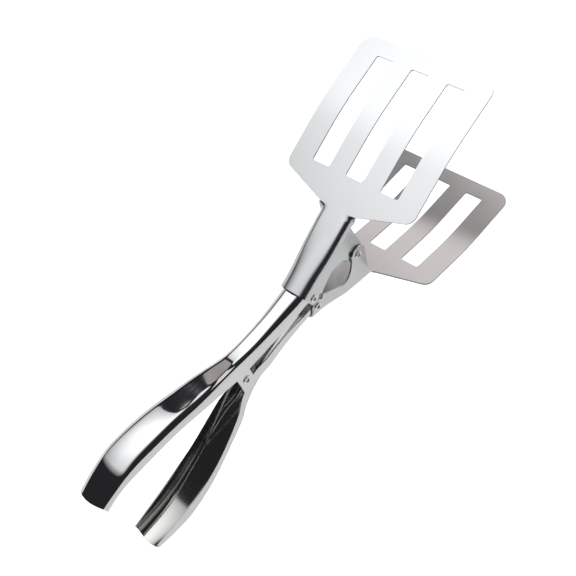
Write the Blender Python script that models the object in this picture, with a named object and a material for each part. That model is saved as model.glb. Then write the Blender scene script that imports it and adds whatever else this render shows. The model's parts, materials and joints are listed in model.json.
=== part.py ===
"""Slotted barbecue turner tongs, at rest (open), standing on the lower blade's tip and the lower handle.

Two pressed handle shells turn on one rivet. Their front ends carry two folded blade heads, which turn
on each other at their ears, so that squeezing the handles closes the blades. The side view is the XZ
plane: x runs forwards to the blade tips, z upwards, and everything is laid out from the head pivot.
"""

import math

import bmesh
import bpy
from mathutils import Matrix, Vector

MM = 0.001

# Linkage, in the side view, from the head pivot
HANDLE_PIVOT_X = -92.0 * MM
LINK_PIVOT_X = -36.0 * MM
LINK_PIVOT_Z = 4.45 * MM
HEAD_OPENING = math.radians(14.0)
CLEARANCE = 0.3 * MM
SLIDING_GAP = 0.4 * MM
HAIR = 0.001 * MM
CUT_OVERRUN = 13.3 * MM
SHARP_ANGLE = math.radians(30.0)

# Sheet
HANDLE_SHEET = 0.8 * MM
HEAD_SHEET = 1.0 * MM
BEND_STEPS = 4
WEB_STEPS = 2
FADE_LIP = 0.3 * MM
FLAT_ANGLE = math.radians(0.01)

# Neck channel of a head: runs from the link pivot, from the ear's round and on towards the blade
NECK_REAR_RUN = 3.55 * MM
NECK_REAR_HALF = 9.5 * MM
NECK_REAR_RISE = 10.2 * MM
NECK_REAR_BEND = 3.5 * MM
NECK_FRONT_BEND = 2.6 * MM
UPPER_EAR_HALF = 10.3 * MM
LOWER_EAR_HALF = UPPER_EAR_HALF + HEAD_SHEET + SLIDING_GAP
EAR_RADIUS = 5.7 * MM
EAR_FLAT_RUN = 3.3 * MM
TAPER_RUN = 3.85 * MM
FLANGE_FRONT_RUN = 2.3 * MM
FADE_RUN = 5.0 * MM
JOINT_FLAT_HALF = 7.6 * MM
LINK_LOBE_RADIUS = LINK_PIVOT_Z - CLEARANCE / 2.0
WINDOW_REAR_RUN = 5.35 * MM
WINDOW_REAR_W = 8.5 * MM
WINDOW_FRONT_RUN = 7.7 * MM
WINDOW_FRONT_W = 12.9 * MM
LOBE_BLEND_SHARE = 0.8
LOBE_STATION_SHARES = (-0.6, -0.3, 0.0, 0.3, 0.6, LOBE_BLEND_SHARE)
WINDOW_STATION_SHARES = (0.25, 0.5, 0.75)
FILLET_STATION_SHARES = (0.3, 0.55, 0.75, 0.88, 0.97)
FRONT_STATION_SHARES = (0.3, 0.6, 0.85, 1.0)
FADE_STATION_SHARES = (0.25, 0.5, 0.75, 1.0)

# Blade, on from the neck's joint
BLADE_WIDTH = 85.0 * MM
BLADE_OFFSET = 26.6 * MM
SHOULDER_RUN = 9.9 * MM
BLADE_LENGTH = 85.3 * MM
BASE_CORNER_RADIUS = 6.0 * MM
TIP_CORNER_RADIUS = 7.5 * MM
CORNER_STEPS = 5
BLADE_BEND_PLACE = 40.1 * MM
BLADE_BEND_RUN = 26.0 * MM
BLADE_BEND_ANGLE = math.radians(9.5)
BLADE_BEND_STEPS = 5

# Slots in a blade
SLOT_WIDTH = 11.5 * MM
SLOT_PITCH = 22.94 * MM
SLOT_BASE_MARGIN = 7.9 * MM
SLOT_TIP_MARGIN = 10.0 * MM
SLOT_CORNER_RADIUS = 1.2 * MM
SLOT_CORNER_STEPS = 3

# Handle shell: web height, half width, bend radius and flange edge at its grip, waist and front
HANDLE_REAR_LENGTH = 94.6 * MM
HANDLE_FRONT_RUN = 3.6 * MM
HANDLE_FRONT_RISE = 7.15 * MM
GRIP_HEIGHT, GRIP_HALF = 42.7 * MM, 10.3 * MM
LOWER_GRIP_BEND, LOWER_GRIP_EDGE = 8.2 * MM, 30.8 * MM
UPPER_GRIP_BEND, UPPER_GRIP_EDGE = 4.0 * MM, 34.8 * MM
WAIST_HEIGHT, WAIST_HALF, WAIST_BEND, WAIST_EDGE = 17.2 * MM, 5.9 * MM, 2.5 * MM, 6.0 * MM
FRONT_HEIGHT = LINK_PIVOT_Z + HANDLE_FRONT_RISE
FRONT_HALF = NECK_REAR_HALF - HEAD_SHEET - CLEARANCE
FRONT_BEND, FRONT_EDGE = 2.6 * MM, 2.4 * MM
LOWER_GRIP, UPPER_GRIP = (LOWER_GRIP_BEND, LOWER_GRIP_EDGE), (UPPER_GRIP_BEND, UPPER_GRIP_EDGE)
GRIP_SIZES = (GRIP_HEIGHT, GRIP_HALF, *LOWER_GRIP, *UPPER_GRIP)
WAIST_SIZES = (WAIST_HEIGHT, WAIST_HALF, WAIST_BEND, WAIST_EDGE, WAIST_BEND, WAIST_EDGE)
FRONT_SIZES = (FRONT_HEIGHT, FRONT_HALF, FRONT_BEND, FRONT_EDGE, FRONT_BEND, FRONT_EDGE)

# Shares of the way from the waist to the grip, and from the waist to the front: place, then those six
REAR_SHARES = (
    (1.00, 1.00, 0.83, 0.88, 1.00, 0.90, 0.90),
    (0.90, 1.00, 0.88, 0.90, 1.00, 0.95, 1.00),
    (0.75, 0.99, 0.97, 0.79, 0.99, 1.00, 0.99),
    (0.60, 0.88, 1.00, 0.57, 0.93, 0.95, 0.90),
    (0.45, 0.69, 0.89, 0.37, 0.80, 0.75, 0.75),
    (0.30, 0.45, 0.70, 0.20, 0.57, 0.45, 0.52),
    (0.15, 0.23, 0.38, 0.06, 0.29, 0.15, 0.26),
)
FRONT_SHARES = (
    (0.25, 0.68, -0.09, 0.0, 0.67, 0.0, 0.67),
    (0.50, 0.93, 0.17, 0.5, 1.00, 0.5, 1.00),
    (0.75, 1.00, 0.63, 1.0, 0.83, 1.0, 0.83),
    (1.00, 1.00, 1.00, 1.0, 0.56, 1.0, 0.56),
)
END_RUN = 26.0 * MM
END_DROP = 4.8 * MM
END_NARROWING = 0.4 * MM
END_BOW = 2.0 * MM
END_STEPS = 6
BEND_LIMIT_SHARE = 0.8
HANDLE_CROWN = 0.5 * MM
CROWN_START_X = -125.0 * MM
CROWN_RUN = 30.0 * MM
PIVOT_LOBE_RADIUS = 4.7 * MM
LINK_LOBE_GAP = 1.1 * MM
HANDLE_LINK_LOBE_RADIUS = LINK_PIVOT_Z - LINK_LOBE_GAP / 2.0
LOBE_SIDE_RUN = 0.7 * MM
LOBE_STEPS = 8
LOWER_NESTING = HANDLE_SHEET + SLIDING_GAP
NEST_REACH = 7.0 * MM
NEST_BLEND = 10.0 * MM

# Rivets
RIVET_SHANK_RADIUS = 1.3 * MM
MAIN_SHANK_RADIUS = 1.5 * MM
HEAD_PIVOT_PLAY = 0.35 * MM
RIVET_HEAD_RADIUS = 2.3 * MM
MAIN_HEAD_RADIUS = 2.5 * MM
RIVET_HEAD_HEIGHT = 0.9 * MM
RIVET_RIM_DROP = 0.35 * MM
RIVET_DIMPLE_RADIUS = 1.0 * MM
RIVET_DIMPLE_DEPTH = 0.6 * MM
RIVET_HEAD_GAP = 0.2 * MM
DIMPLE_FLOOR_SHARE = 0.8
SHOULDER_SHARE = 0.93
RIVET_SIDES = 20

# Return spring on the handle rivet: its legs run back to the handles' creases
SPRING_WIRE_RADIUS = 0.45 * MM
SPRING_COIL_RADIUS = 3.4 * MM
SPRING_PITCH = 1.4 * MM
SPRING_WHOLE_TURNS = 4
SPRING_CURL_POINTS = 10
SPRING_KNEE_RUN = 11.0 * MM
SPRING_KNEE_Z = 7.8 * MM
SPRING_KNEE_POINTS = 3
SPRING_FOOT_RUN = 39.0 * MM
SPRING_FOOT_ANGLE = math.radians(22.5)
SPRING_LEG_POINTS = 6

HEAD_PIVOT = Vector((0.0, 0.0, 0.0))
HANDLE_PIVOT = Vector((HANDLE_PIVOT_X, 0.0, 0.0))
UPPER, LOWER = 1, -1

# The link pivot in a head's own frame, and the places along that frame
LINK_IN_HEAD = Matrix.Rotation(-HEAD_OPENING, 2) @ Vector((LINK_PIVOT_X, LINK_PIVOT_Z))
NECK_REAR_U = LINK_IN_HEAD.x - NECK_REAR_RUN
NECK_REAR_HEIGHT = LINK_IN_HEAD.y + NECK_REAR_RISE
TAPER_START_U = LINK_IN_HEAD.x + TAPER_RUN
WINDOW_REAR_U = LINK_IN_HEAD.x + WINDOW_REAR_RUN
WINDOW_FRONT_U = -EAR_RADIUS - WINDOW_FRONT_RUN
EAR_PLANE_U = -EAR_RADIUS - EAR_FLAT_RUN
FLANGE_FRONT_U = EAR_RADIUS + FLANGE_FRONT_RUN
NECK_JOINT_U = FLANGE_FRONT_U + FADE_RUN
BLADE_CORNER_U = NECK_JOINT_U + SHOULDER_RUN
BLADE_TIP_U = BLADE_CORNER_U + BLADE_LENGTH
BLADE_BEND_U = BLADE_CORNER_U + BLADE_BEND_PLACE
SLOT_START_U = BLADE_CORNER_U + SLOT_BASE_MARGIN
SLOT_END_U = BLADE_TIP_U - SLOT_TIP_MARGIN


def clear_scene():
    for obj in list(bpy.data.objects):
        bpy.data.objects.remove(obj)


def metal(name, colour, roughness):
    material = bpy.data.materials.new(name)
    material.use_nodes = True
    shader = material.node_tree.nodes["Principled BSDF"]
    shader.inputs["Base Color"].default_value = (*colour, 1.0)
    shader.inputs["Roughness"].default_value = roughness
    shader.inputs["Metallic"].default_value = 1.0
    return material


def smoothstep(value, start, end):
    share = min(max((value - start) / (end - start), 0.0), 1.0)
    return share * share * (3.0 - 2.0 * share)


def blend(value, start, end, first, second):
    return first + (second - first) * smoothstep(value, start, end)


def curve_through(xs, ys, x):
    """The height at x of a smooth curve through the points (a Hermite cubic with mean slopes)."""
    last = len(xs) - 1
    i = next((k for k in range(last) if x <= xs[k + 1]), last - 1)
    slopes = [(ys[k + 1] - ys[k]) / (xs[k + 1] - xs[k]) for k in range(last)]
    before = slopes[max(i - 1, 0)]
    after = slopes[min(i + 1, last - 1)]
    start_slope, end_slope = (before + slopes[i]) / 2.0, (slopes[i] + after) / 2.0
    run = xs[i + 1] - xs[i]
    t = (x - xs[i]) / run
    return (
        (2 * t**3 - 3 * t**2 + 1) * ys[i]
        + (t**3 - 2 * t**2 + t) * run * start_slope
        + (3 * t**2 - 2 * t**3) * ys[i + 1]
        + (t**3 - t**2) * run * end_slope
    )


def folded_half(flat, bend_radius, angle, lip, crown=0.0):
    """Half of a folded section, from the web's middle outwards, as (across, down) pairs.

    The bend keeps the blank's length, so that with a smaller angle it opens out to a wider curve.
    """
    points = []
    for step in range(WEB_STEPS + 1):
        share = step / WEB_STEPS
        points.append((flat * share, crown * share * share))
    blank = bend_radius * math.pi / 2.0
    radius = blank / angle
    for step in range(1, BEND_STEPS + 1):
        turned = angle * step / BEND_STEPS
        points.append((flat + radius * math.sin(turned), crown + radius * (1.0 - math.cos(turned))))
    across, down = points[-1]
    points.append((across + lip * math.cos(angle), down + lip * math.sin(angle)))
    return points


def sheet_object(name, rows, thickness, side, material, pivot):
    """A pressed sheet whose outer face runs through rows of points, thickened inwards."""
    mesh = bmesh.new()
    grid = [[mesh.verts.new(Vector(point) - pivot) for point in row] for row in rows]
    for first, second in zip(grid, grid[1:]):
        for a, b, c, d in zip(first, second, second[1:], first[1:]):
            mesh.faces.new((a, b, c, d) if side == UPPER else (d, c, b, a))
    data = bpy.data.meshes.new(name)
    mesh.to_mesh(data)
    mesh.free()
    data.materials.append(material)
    obj = bpy.data.objects.new(name, data)
    bpy.context.scene.collection.objects.link(obj)
    solid = obj.modifiers.new("sheet", "SOLIDIFY")
    solid.thickness = thickness
    solid.offset = -1.0
    solid.use_even_offset = True
    return obj


def whole_row(half, place):
    """Mirrors a half section across the middle plane and places each (across, down) point."""
    left = [place(-across, down) for across, down in reversed(half[1:])]
    return left + [place(across, down) for across, down in half]


def lobe_stations(centre, radius):
    turns = [math.pi * step / LOBE_STEPS for step in range(LOBE_STEPS + 1)]
    inner = [centre - radius * math.cos(turn) for turn in turns]
    return [centre - radius - LOBE_SIDE_RUN, *inner, centre + radius + LOBE_SIDE_RUN]


def below_lobe(x, edge, centre, height, radius):
    """The flange edge with a round lobe of this centre and radius hanging below it."""
    reach = abs(x - centre)
    if reach > radius + HAIR:
        return edge
    return min(edge, height - math.sqrt(max(radius * radius - reach * reach, 0.0)))


def handle_rows():
    """The handles' named sections from rear to front: x, web top, half width, then bend and edge of each."""
    front_length = LINK_PIVOT_X + HANDLE_FRONT_RUN - HANDLE_PIVOT_X
    rows = [(HANDLE_PIVOT_X, *WAIST_SIZES)]
    for length, table, sizes in (
        (-HANDLE_REAR_LENGTH, REAR_SHARES, GRIP_SIZES),
        (front_length, FRONT_SHARES, FRONT_SIZES),
    ):
        for place, *shares in table:
            between = [a + (b - a) * share for a, b, share in zip(WAIST_SIZES, sizes, shares)]
            rows.append((HANDLE_PIVOT_X + length * place, *between))
    return sorted(rows)


def end_share(x):
    """Nothing along the grip, rising to one at the rear end, in the curve in which the end bends down."""
    past = (HANDLE_PIVOT_X - HANDLE_REAR_LENGTH + END_RUN - x) / END_RUN
    return min(max(past, 0.0), 1.0) ** 2


def handle_section(x, side):
    """Web top, half width, bend radius and edge of one side's handle at x, with its rear end."""
    xs, *columns = zip(*handle_rows())
    top, half, *bends_and_edges = (curve_through(xs, column, x) for column in columns)
    bend, edge = bends_and_edges[2:] if side == UPPER else bends_and_edges[:2]
    half -= END_NARROWING * end_share(x)
    return top - END_DROP * end_share(x), half, min(bend, half * BEND_LIMIT_SHARE), edge


def handle_width(x, nesting):
    """Half width of a handle shell: the lower one is narrower where the two nest at their rivet."""
    clear = smoothstep(abs(x - HANDLE_PIVOT_X), NEST_REACH, NEST_REACH + NEST_BLEND)
    return handle_section(x, LOWER)[1] - nesting * (1.0 - clear)


def handle_crown(x):
    return HANDLE_CROWN * smoothstep(-x, -CROWN_START_X, -CROWN_START_X + CROWN_RUN)


def handle_stations():
    xs = [row[0] for row in handle_rows()]
    stations = set(xs)
    stations.update((a + b) / 2.0 for a, b in zip(xs[1:], xs[2:]))
    ends = [xs[0] + END_RUN * step / END_STEPS for step in range(END_STEPS + 1)]
    stations = {x for x in stations if x > ends[-1]} | set(ends)
    for centre, radius in ((HANDLE_PIVOT_X, PIVOT_LOBE_RADIUS), (LINK_PIVOT_X, HANDLE_LINK_LOBE_RADIUS)):
        lobe = [x for x in lobe_stations(centre, radius) if x < xs[-1]]
        stations = {x for x in stations if not lobe[0] < x < lobe[-1]} | set(lobe)
    stations.add(xs[-1])
    apart = []
    for x in sorted(stations):
        if not apart or x - apart[-1] > HAIR:
            apart.append(x)
    return apart


def make_handle(name, side, nesting, material):
    rows = []
    for x in handle_stations():
        top, _, bend, edge = handle_section(x, side)
        half = handle_width(x, nesting)
        edge = below_lobe(x, edge, HANDLE_PIVOT_X, 0.0, PIVOT_LOBE_RADIUS)
        edge = below_lobe(x, edge, LINK_PIVOT_X, LINK_PIVOT_Z, HANDLE_LINK_LOBE_RADIUS)
        crown = handle_crown(x)
        bend = min(bend, top - crown - FADE_LIP - edge)
        lip = max(top - crown - bend - edge, FADE_LIP)
        section = folded_half(half - bend, bend, math.pi / 2.0, lip, crown)
        bow = END_BOW * end_share(x)

        def place(y, down, x=x, top=top, half=half, bow=bow):
            return x - bow * (1.0 - (y / half) ** 2), y, side * (top - down)

        rows.append(whole_row(section, place))
    return sheet_object(name, rows, HANDLE_SHEET, side, material, HANDLE_PIVOT)


def blade_line(u):
    """Height of the head's outer face above the head pivot, along the head's own axis."""
    if u < NECK_JOINT_U:
        share = (u - NECK_REAR_U) / (NECK_JOINT_U - NECK_REAR_U)
        return NECK_REAR_HEIGHT + (BLADE_OFFSET - NECK_REAR_HEIGHT) * share
    start, end = BLADE_BEND_U - BLADE_BEND_RUN / 2.0, BLADE_BEND_U + BLADE_BEND_RUN / 2.0
    length = BLADE_TIP_U - NECK_JOINT_U
    rise = math.tan(BLADE_BEND_ANGLE) * (BLADE_TIP_U - BLADE_BEND_U) / length
    height = BLADE_OFFSET + rise * (u - NECK_JOINT_U)
    if u <= start:
        return height
    fall = math.tan(BLADE_BEND_ANGLE)
    if u >= end:
        return height - fall * (u - BLADE_BEND_U)
    return height - fall * (u - start) ** 2 / (2.0 * BLADE_BEND_RUN)


def blade_half(u):
    """Half width of the blade's outline at u, with its base slopes and rounded corners."""
    half = BLADE_WIDTH / 2.0
    if u > BLADE_TIP_U - TIP_CORNER_RADIUS:
        reach = u - (BLADE_TIP_U - TIP_CORNER_RADIUS)
        return half - TIP_CORNER_RADIUS + math.sqrt(max(TIP_CORNER_RADIUS**2 - reach**2, 0.0))
    corner_end, turn = base_corner()
    if u >= corner_end:
        return half
    if u >= corner_end - BASE_CORNER_RADIUS * math.sin(turn):
        reach = corner_end - u
        return half - BASE_CORNER_RADIUS + math.sqrt(BASE_CORNER_RADIUS**2 - reach**2)
    return half - math.tan(turn) * (BLADE_CORNER_U - u)


def flange_edge(u):
    """Height of the neck flange's free edge: link lobe, window, ear and front edge."""
    link_u, link_w = LINK_IN_HEAD
    lobe_end = link_u + LINK_LOBE_RADIUS * LOBE_BLEND_SHARE
    if u <= lobe_end:
        reach = min(abs(u - link_u), LINK_LOBE_RADIUS)
        return link_w - math.sqrt(LINK_LOBE_RADIUS**2 - reach**2)
    if u <= WINDOW_REAR_U:
        start_w = link_w - LINK_LOBE_RADIUS * math.sqrt(1.0 - LOBE_BLEND_SHARE**2)
        return blend(u, lobe_end, WINDOW_REAR_U, start_w, WINDOW_REAR_W)
    if u <= WINDOW_FRONT_U:
        share = (u - WINDOW_REAR_U) / (WINDOW_FRONT_U - WINDOW_REAR_U)
        return WINDOW_REAR_W + (WINDOW_FRONT_W - WINDOW_REAR_W) * math.sin(math.pi / 2.0 * share)
    if u < -EAR_RADIUS:
        share = (u - WINDOW_FRONT_U) / (-EAR_RADIUS - WINDOW_FRONT_U)
        return WINDOW_FRONT_W * math.sqrt(max(1.0 - share**2, 0.0))
    if u <= EAR_RADIUS:
        return -math.sqrt(max(EAR_RADIUS**2 - u * u, 0.0))
    share = (u - EAR_RADIUS) / (FLANGE_FRONT_U - EAR_RADIUS)
    return (blade_line(u) - NECK_FRONT_BEND) * min(share, 1.0)


def base_corner():
    """Where the rounded base corner ends on the blade's straight side, and the angle that it turns."""
    neck = JOINT_FLAT_HALF + NECK_FRONT_BEND * math.pi / 2.0
    turn = math.atan((BLADE_WIDTH / 2.0 - neck) / SHOULDER_RUN)
    return BLADE_CORNER_U + BASE_CORNER_RADIUS * math.tan(turn / 2.0), turn


def head_stations():
    stations = {NECK_REAR_U, WINDOW_REAR_U, WINDOW_FRONT_U, EAR_PLANE_U}
    stations.update(LINK_IN_HEAD.x + LINK_LOBE_RADIUS * share for share in LOBE_STATION_SHARES)
    window = WINDOW_FRONT_U - WINDOW_REAR_U
    stations.update(WINDOW_REAR_U + window * share for share in WINDOW_STATION_SHARES)
    stations.update(WINDOW_FRONT_U + WINDOW_FRONT_RUN * share for share in FILLET_STATION_SHARES)
    ear_turns = [math.pi * step / (2 * CORNER_STEPS) for step in range(2 * CORNER_STEPS + 1)]
    stations.update(-EAR_RADIUS * math.cos(turn) for turn in ear_turns)
    stations.update(EAR_RADIUS + FLANGE_FRONT_RUN * share for share in FRONT_STATION_SHARES)
    stations.update(FLANGE_FRONT_U + FADE_RUN * share for share in FADE_STATION_SHARES)
    corner_end, turn = base_corner()
    corner_shares = [step / CORNER_STEPS for step in range(CORNER_STEPS + 1)]
    stations.update(corner_end - BASE_CORNER_RADIUS * math.sin(turn * share) for share in corner_shares)
    bend_start = BLADE_BEND_U - BLADE_BEND_RUN / 2.0
    bend_shares = [step / BLADE_BEND_STEPS for step in range(BLADE_BEND_STEPS + 1)]
    stations.update(bend_start + BLADE_BEND_RUN * share for share in bend_shares)
    tip = BLADE_TIP_U - TIP_CORNER_RADIUS
    quarter = math.pi / 2.0
    stations.update(tip + TIP_CORNER_RADIUS * math.sin(quarter * share) for share in corner_shares)
    return sorted(stations)


def head_section(u, ear_half):
    """Half of the head's section at u: a channel on the neck that opens out flat into the blade."""
    if u <= FLANGE_FRONT_U:
        outer = blend(u, TAPER_START_U, EAR_PLANE_U, NECK_REAR_HALF, ear_half)
        bend = blend(u, NECK_REAR_U, FLANGE_FRONT_U, NECK_REAR_BEND, NECK_FRONT_BEND)
        lip = max(blade_line(u) - bend - flange_edge(u), FADE_LIP)
        return folded_half(outer - bend, bend, math.pi / 2.0, lip)
    open_share = smoothstep(u, FLANGE_FRONT_U, NECK_JOINT_U)
    flat = blend(u, FLANGE_FRONT_U, NECK_JOINT_U, ear_half - NECK_FRONT_BEND, JOINT_FLAT_HALF)
    angle = max(math.pi / 2.0 * (1.0 - open_share), FLAT_ANGLE)
    lip = FADE_LIP
    if u >= NECK_JOINT_U:
        lip = max(blade_half(u) - flat - NECK_FRONT_BEND * math.pi / 2.0, FADE_LIP)
    return folded_half(flat, NECK_FRONT_BEND, angle, lip)


def cutter(name, data, location, rotation):
    obj = bpy.data.objects.new(name, data)
    bpy.context.scene.collection.objects.link(obj)
    obj.location = location
    obj.rotation_euler = rotation
    obj.hide_render = True
    obj.display_type = "WIRE"
    return obj


def cylinder_data(name, radius, length):
    mesh = bmesh.new()
    bmesh.ops.create_cone(
        mesh, cap_ends=True, segments=RIVET_SIDES, radius1=radius, radius2=radius, depth=length
    )
    bmesh.ops.rotate(mesh, verts=mesh.verts, cent=(0, 0, 0), matrix=Matrix.Rotation(math.pi / 2.0, 3, "X"))
    data = bpy.data.meshes.new(name)
    mesh.to_mesh(data)
    mesh.free()
    return data


def cut_hole(obj, name, centre, radius):
    """Drills a pivot hole right across both flanges, along y."""
    length = 2.0 * (LOWER_EAR_HALF + CUT_OVERRUN)
    hole = cutter(name, cylinder_data(name, radius, length), centre, (0.0, 0.0, 0.0))
    hole.parent = obj.parent
    cut = obj.modifiers.new(name, "BOOLEAN")
    cut.object = hole
    cut.solver = "EXACT"


def cut_slot(obj, name, side, across, pivot):
    """Punches one round-cornered slot through the blade, along the head's own height."""
    mesh = bmesh.new()
    outline = []
    for corner, (u, v) in enumerate(
        ((SLOT_END_U, 1), (SLOT_START_U, 1), (SLOT_START_U, -1), (SLOT_END_U, -1))
    ):
        centre_u = u - SLOT_CORNER_RADIUS if u == SLOT_END_U else u + SLOT_CORNER_RADIUS
        centre_v = across + v * (SLOT_WIDTH / 2.0 - SLOT_CORNER_RADIUS)
        for step in range(SLOT_CORNER_STEPS + 1):
            turned = math.pi / 2.0 * (corner + step / SLOT_CORNER_STEPS)
            corner_u = centre_u + SLOT_CORNER_RADIUS * math.cos(turned)
            outline.append((corner_u, centre_v + SLOT_CORNER_RADIUS * math.sin(turned)))
    low, high = BLADE_OFFSET - CUT_OVERRUN, BLADE_OFFSET + CUT_OVERRUN
    base = [mesh.verts.new(Vector((u, v, low)) - pivot) for u, v in outline]
    face = mesh.faces.new(base)
    raised = bmesh.ops.extrude_face_region(mesh, geom=[face])
    lifted = [item for item in raised["geom"] if isinstance(item, bmesh.types.BMVert)]
    bmesh.ops.translate(mesh, verts=lifted, vec=(0.0, 0.0, high - low))
    if side == LOWER:
        bmesh.ops.scale(mesh, verts=mesh.verts, vec=(1.0, 1.0, -1.0))
    bmesh.ops.recalc_face_normals(mesh, faces=mesh.faces)
    data = bpy.data.meshes.new(name)
    mesh.to_mesh(data)
    mesh.free()
    slot = cutter(name, data, obj.location, obj.rotation_euler)
    slot.parent = obj.parent
    cut = obj.modifiers.new(name, "BOOLEAN")
    cut.object = slot
    cut.solver = "EXACT"


def finish_cuts(obj):
    """Keeps the cut sheet as plain mesh, smooth on its bends and sharp at its edges."""
    bpy.context.view_layer.update()
    graph = bpy.context.evaluated_depsgraph_get()
    data = bpy.data.meshes.new_from_object(obj.evaluated_get(graph))
    cutters = [modifier.object for modifier in obj.modifiers if modifier.type == "BOOLEAN"]
    obj.modifiers.clear()
    obj.data = data
    data.shade_smooth()
    data.set_sharp_from_angle(angle=SHARP_ANGLE)
    for tool in cutters:
        bpy.data.objects.remove(tool)


def link_pivot(side):
    return Vector((LINK_PIVOT_X, 0.0, side * LINK_PIVOT_Z))


def make_head(name, side, ear_half, material, stance):
    link_u, link_w = LINK_IN_HEAD
    own_pivot = Vector((link_u, 0.0, side * link_w))
    rows = []
    for u in head_stations():
        top = blade_line(u)
        rows.append(
            whole_row(head_section(u, ear_half), lambda v, down, u=u, top=top: (u, v, side * (top - down)))
        )
    obj = sheet_object(name, rows, HEAD_SHEET, side, material, own_pivot)
    obj.location = link_pivot(side)
    obj.rotation_euler = (0.0, -side * HEAD_OPENING, 0.0)
    obj.parent = stance
    for index, across in enumerate((-SLOT_PITCH, 0.0, SLOT_PITCH)):
        cut_slot(obj, f"{name}_slot_{index + 1}_cutter", side, across, Vector((link_u, 0.0, link_w)))
    return obj


def turned_object(name, profile, material):
    """A solid turned about the y axis from (radius, y) pairs that start and end on the axis."""
    mesh = bmesh.new()
    rings = []
    for radius, y in profile:
        if radius == 0.0:
            rings.append([mesh.verts.new((0.0, y, 0.0))])
            continue
        angles = [2.0 * math.pi * step / RIVET_SIDES for step in range(RIVET_SIDES)]
        rings.append([mesh.verts.new((radius * math.cos(a), y, radius * math.sin(a))) for a in angles])
    for first, second in zip(rings, rings[1:]):
        for step in range(RIVET_SIDES):
            after = (step + 1) % RIVET_SIDES
            corners = [first[step % len(first)], first[after % len(first)]]
            corners += [second[after % len(second)], second[step % len(second)]]
            mesh.faces.new(list(dict.fromkeys(corners)))
    bmesh.ops.recalc_face_normals(mesh, faces=mesh.faces)
    data = bpy.data.meshes.new(name)
    mesh.to_mesh(data)
    mesh.free()
    data.materials.append(material)
    data.shade_smooth()
    data.set_sharp_from_angle(angle=SHARP_ANGLE)
    obj = bpy.data.objects.new(name, data)
    bpy.context.scene.collection.objects.link(obj)
    return obj


def head_profile(face, out, radius):
    """One rolled rivet head, from its middle to the shank, outwards from the face it sits on."""
    top = face + out * RIVET_HEAD_HEIGHT
    return [
        (0.0, top - out * RIVET_DIMPLE_DEPTH),
        (RIVET_DIMPLE_RADIUS * DIMPLE_FLOOR_SHARE, top - out * RIVET_DIMPLE_DEPTH),
        (RIVET_DIMPLE_RADIUS, top - out * RIVET_RIM_DROP / 2.0),
        ((RIVET_DIMPLE_RADIUS + radius) / 2.0, top),
        (radius * SHOULDER_SHARE, top - out * RIVET_RIM_DROP / 2.0),
        (radius, top - out * RIVET_RIM_DROP),
        (radius, face),
    ]


def make_rivet(name, centre, inner, outer, shank, head_radius, material, stance):
    """A rivet along y between two sheet faces, with a rolled head past each."""
    out = 1.0 if outer > inner else -1.0
    start = inner - out * RIVET_HEAD_GAP
    end = outer + out * RIVET_HEAD_GAP
    profile = head_profile(start, -out, head_radius)
    profile += [(shank, start), (shank, end)]
    profile += reversed(head_profile(end, out, head_radius))
    obj = turned_object(name, profile, material)
    obj.location = centre
    obj.parent = stance
    return obj


def spring_foot(side):
    """Where a leg ends: in the crease of its handle, just clear of the sheet."""
    foot_x = HANDLE_PIVOT_X - SPRING_FOOT_RUN
    top, half, bend, _ = handle_section(foot_x, side)
    nest = bend - HANDLE_SHEET - CLEARANCE - SPRING_WIRE_RADIUS
    foot_y = half - bend + nest * math.sin(SPRING_FOOT_ANGLE)
    foot_z = top - handle_crown(foot_x) - bend + nest * math.cos(SPRING_FOOT_ANGLE)
    return Vector((foot_x, -side * foot_y, side * foot_z))


def spring_points():
    """The wire's middle line: lower leg, coil and upper leg, in the side view's frame.

    The two legs leave opposite ends of the coil towards the rear and lie in the handles' creases.
    """
    knee_angle = math.pi + math.atan2(SPRING_KNEE_Z, SPRING_KNEE_RUN)
    knee_reach = math.hypot(SPRING_KNEE_RUN, SPRING_KNEE_Z)
    start_angle = knee_angle + math.acos(SPRING_COIL_RADIUS / knee_reach)
    end_angle = 2.0 * math.pi * (SPRING_WHOLE_TURNS + 1) - start_angle
    curls = (end_angle - start_angle) / (2.0 * math.pi)
    half_width = SPRING_PITCH * curls / 2.0
    steps = round(curls * SPRING_CURL_POINTS)
    coil = []
    for step in range(steps + 1):
        share = step / steps
        angle = start_angle + (end_angle - start_angle) * share
        x = HANDLE_PIVOT_X + SPRING_COIL_RADIUS * math.cos(angle)
        coil.append(Vector((x, half_width * (1.0 - 2.0 * share), SPRING_COIL_RADIUS * math.sin(angle))))
    legs = []
    for side, end in ((LOWER, coil[0]), (UPPER, coil[-1])):
        knee = Vector((HANDLE_PIVOT_X - SPRING_KNEE_RUN, end.y, side * SPRING_KNEE_Z))
        foot = spring_foot(side)
        near = [end.lerp(knee, step / SPRING_KNEE_POINTS) for step in range(1, SPRING_KNEE_POINTS + 1)]
        far = [knee.lerp(foot, step / SPRING_LEG_POINTS) for step in range(1, SPRING_LEG_POINTS + 1)]
        legs.append(near + far)
    return legs[0][::-1] + coil + legs[1]


def least_self_gap(points):
    """The least gap between turns: points more than half a curl apart along the wire."""
    skip = SPRING_CURL_POINTS // 2
    pairs = ((a, b) for i, a in enumerate(points) for b in points[i + skip :])
    return min((a - b).length for a, b in pairs) - 2.0 * SPRING_WIRE_RADIUS


def make_spring(name, material, stance):
    points = spring_points()
    print(f"{name}: least gap to itself {least_self_gap(points) / MM:.2f} mm")
    data = bpy.data.curves.new(name, "CURVE")
    data.dimensions = "3D"
    data.bevel_depth = SPRING_WIRE_RADIUS
    data.bevel_resolution = 1
    data.use_fill_caps = True
    line = data.splines.new("POLY")
    line.points.add(len(points) - 1)
    for point, place in zip(line.points, points):
        point.co = (*(place - HANDLE_PIVOT), 1.0)
    data.materials.append(material)
    obj = bpy.data.objects.new(name, data)
    bpy.context.scene.collection.objects.link(obj)
    obj.location = HANDLE_PIVOT
    obj.parent = stance
    return obj


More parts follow.
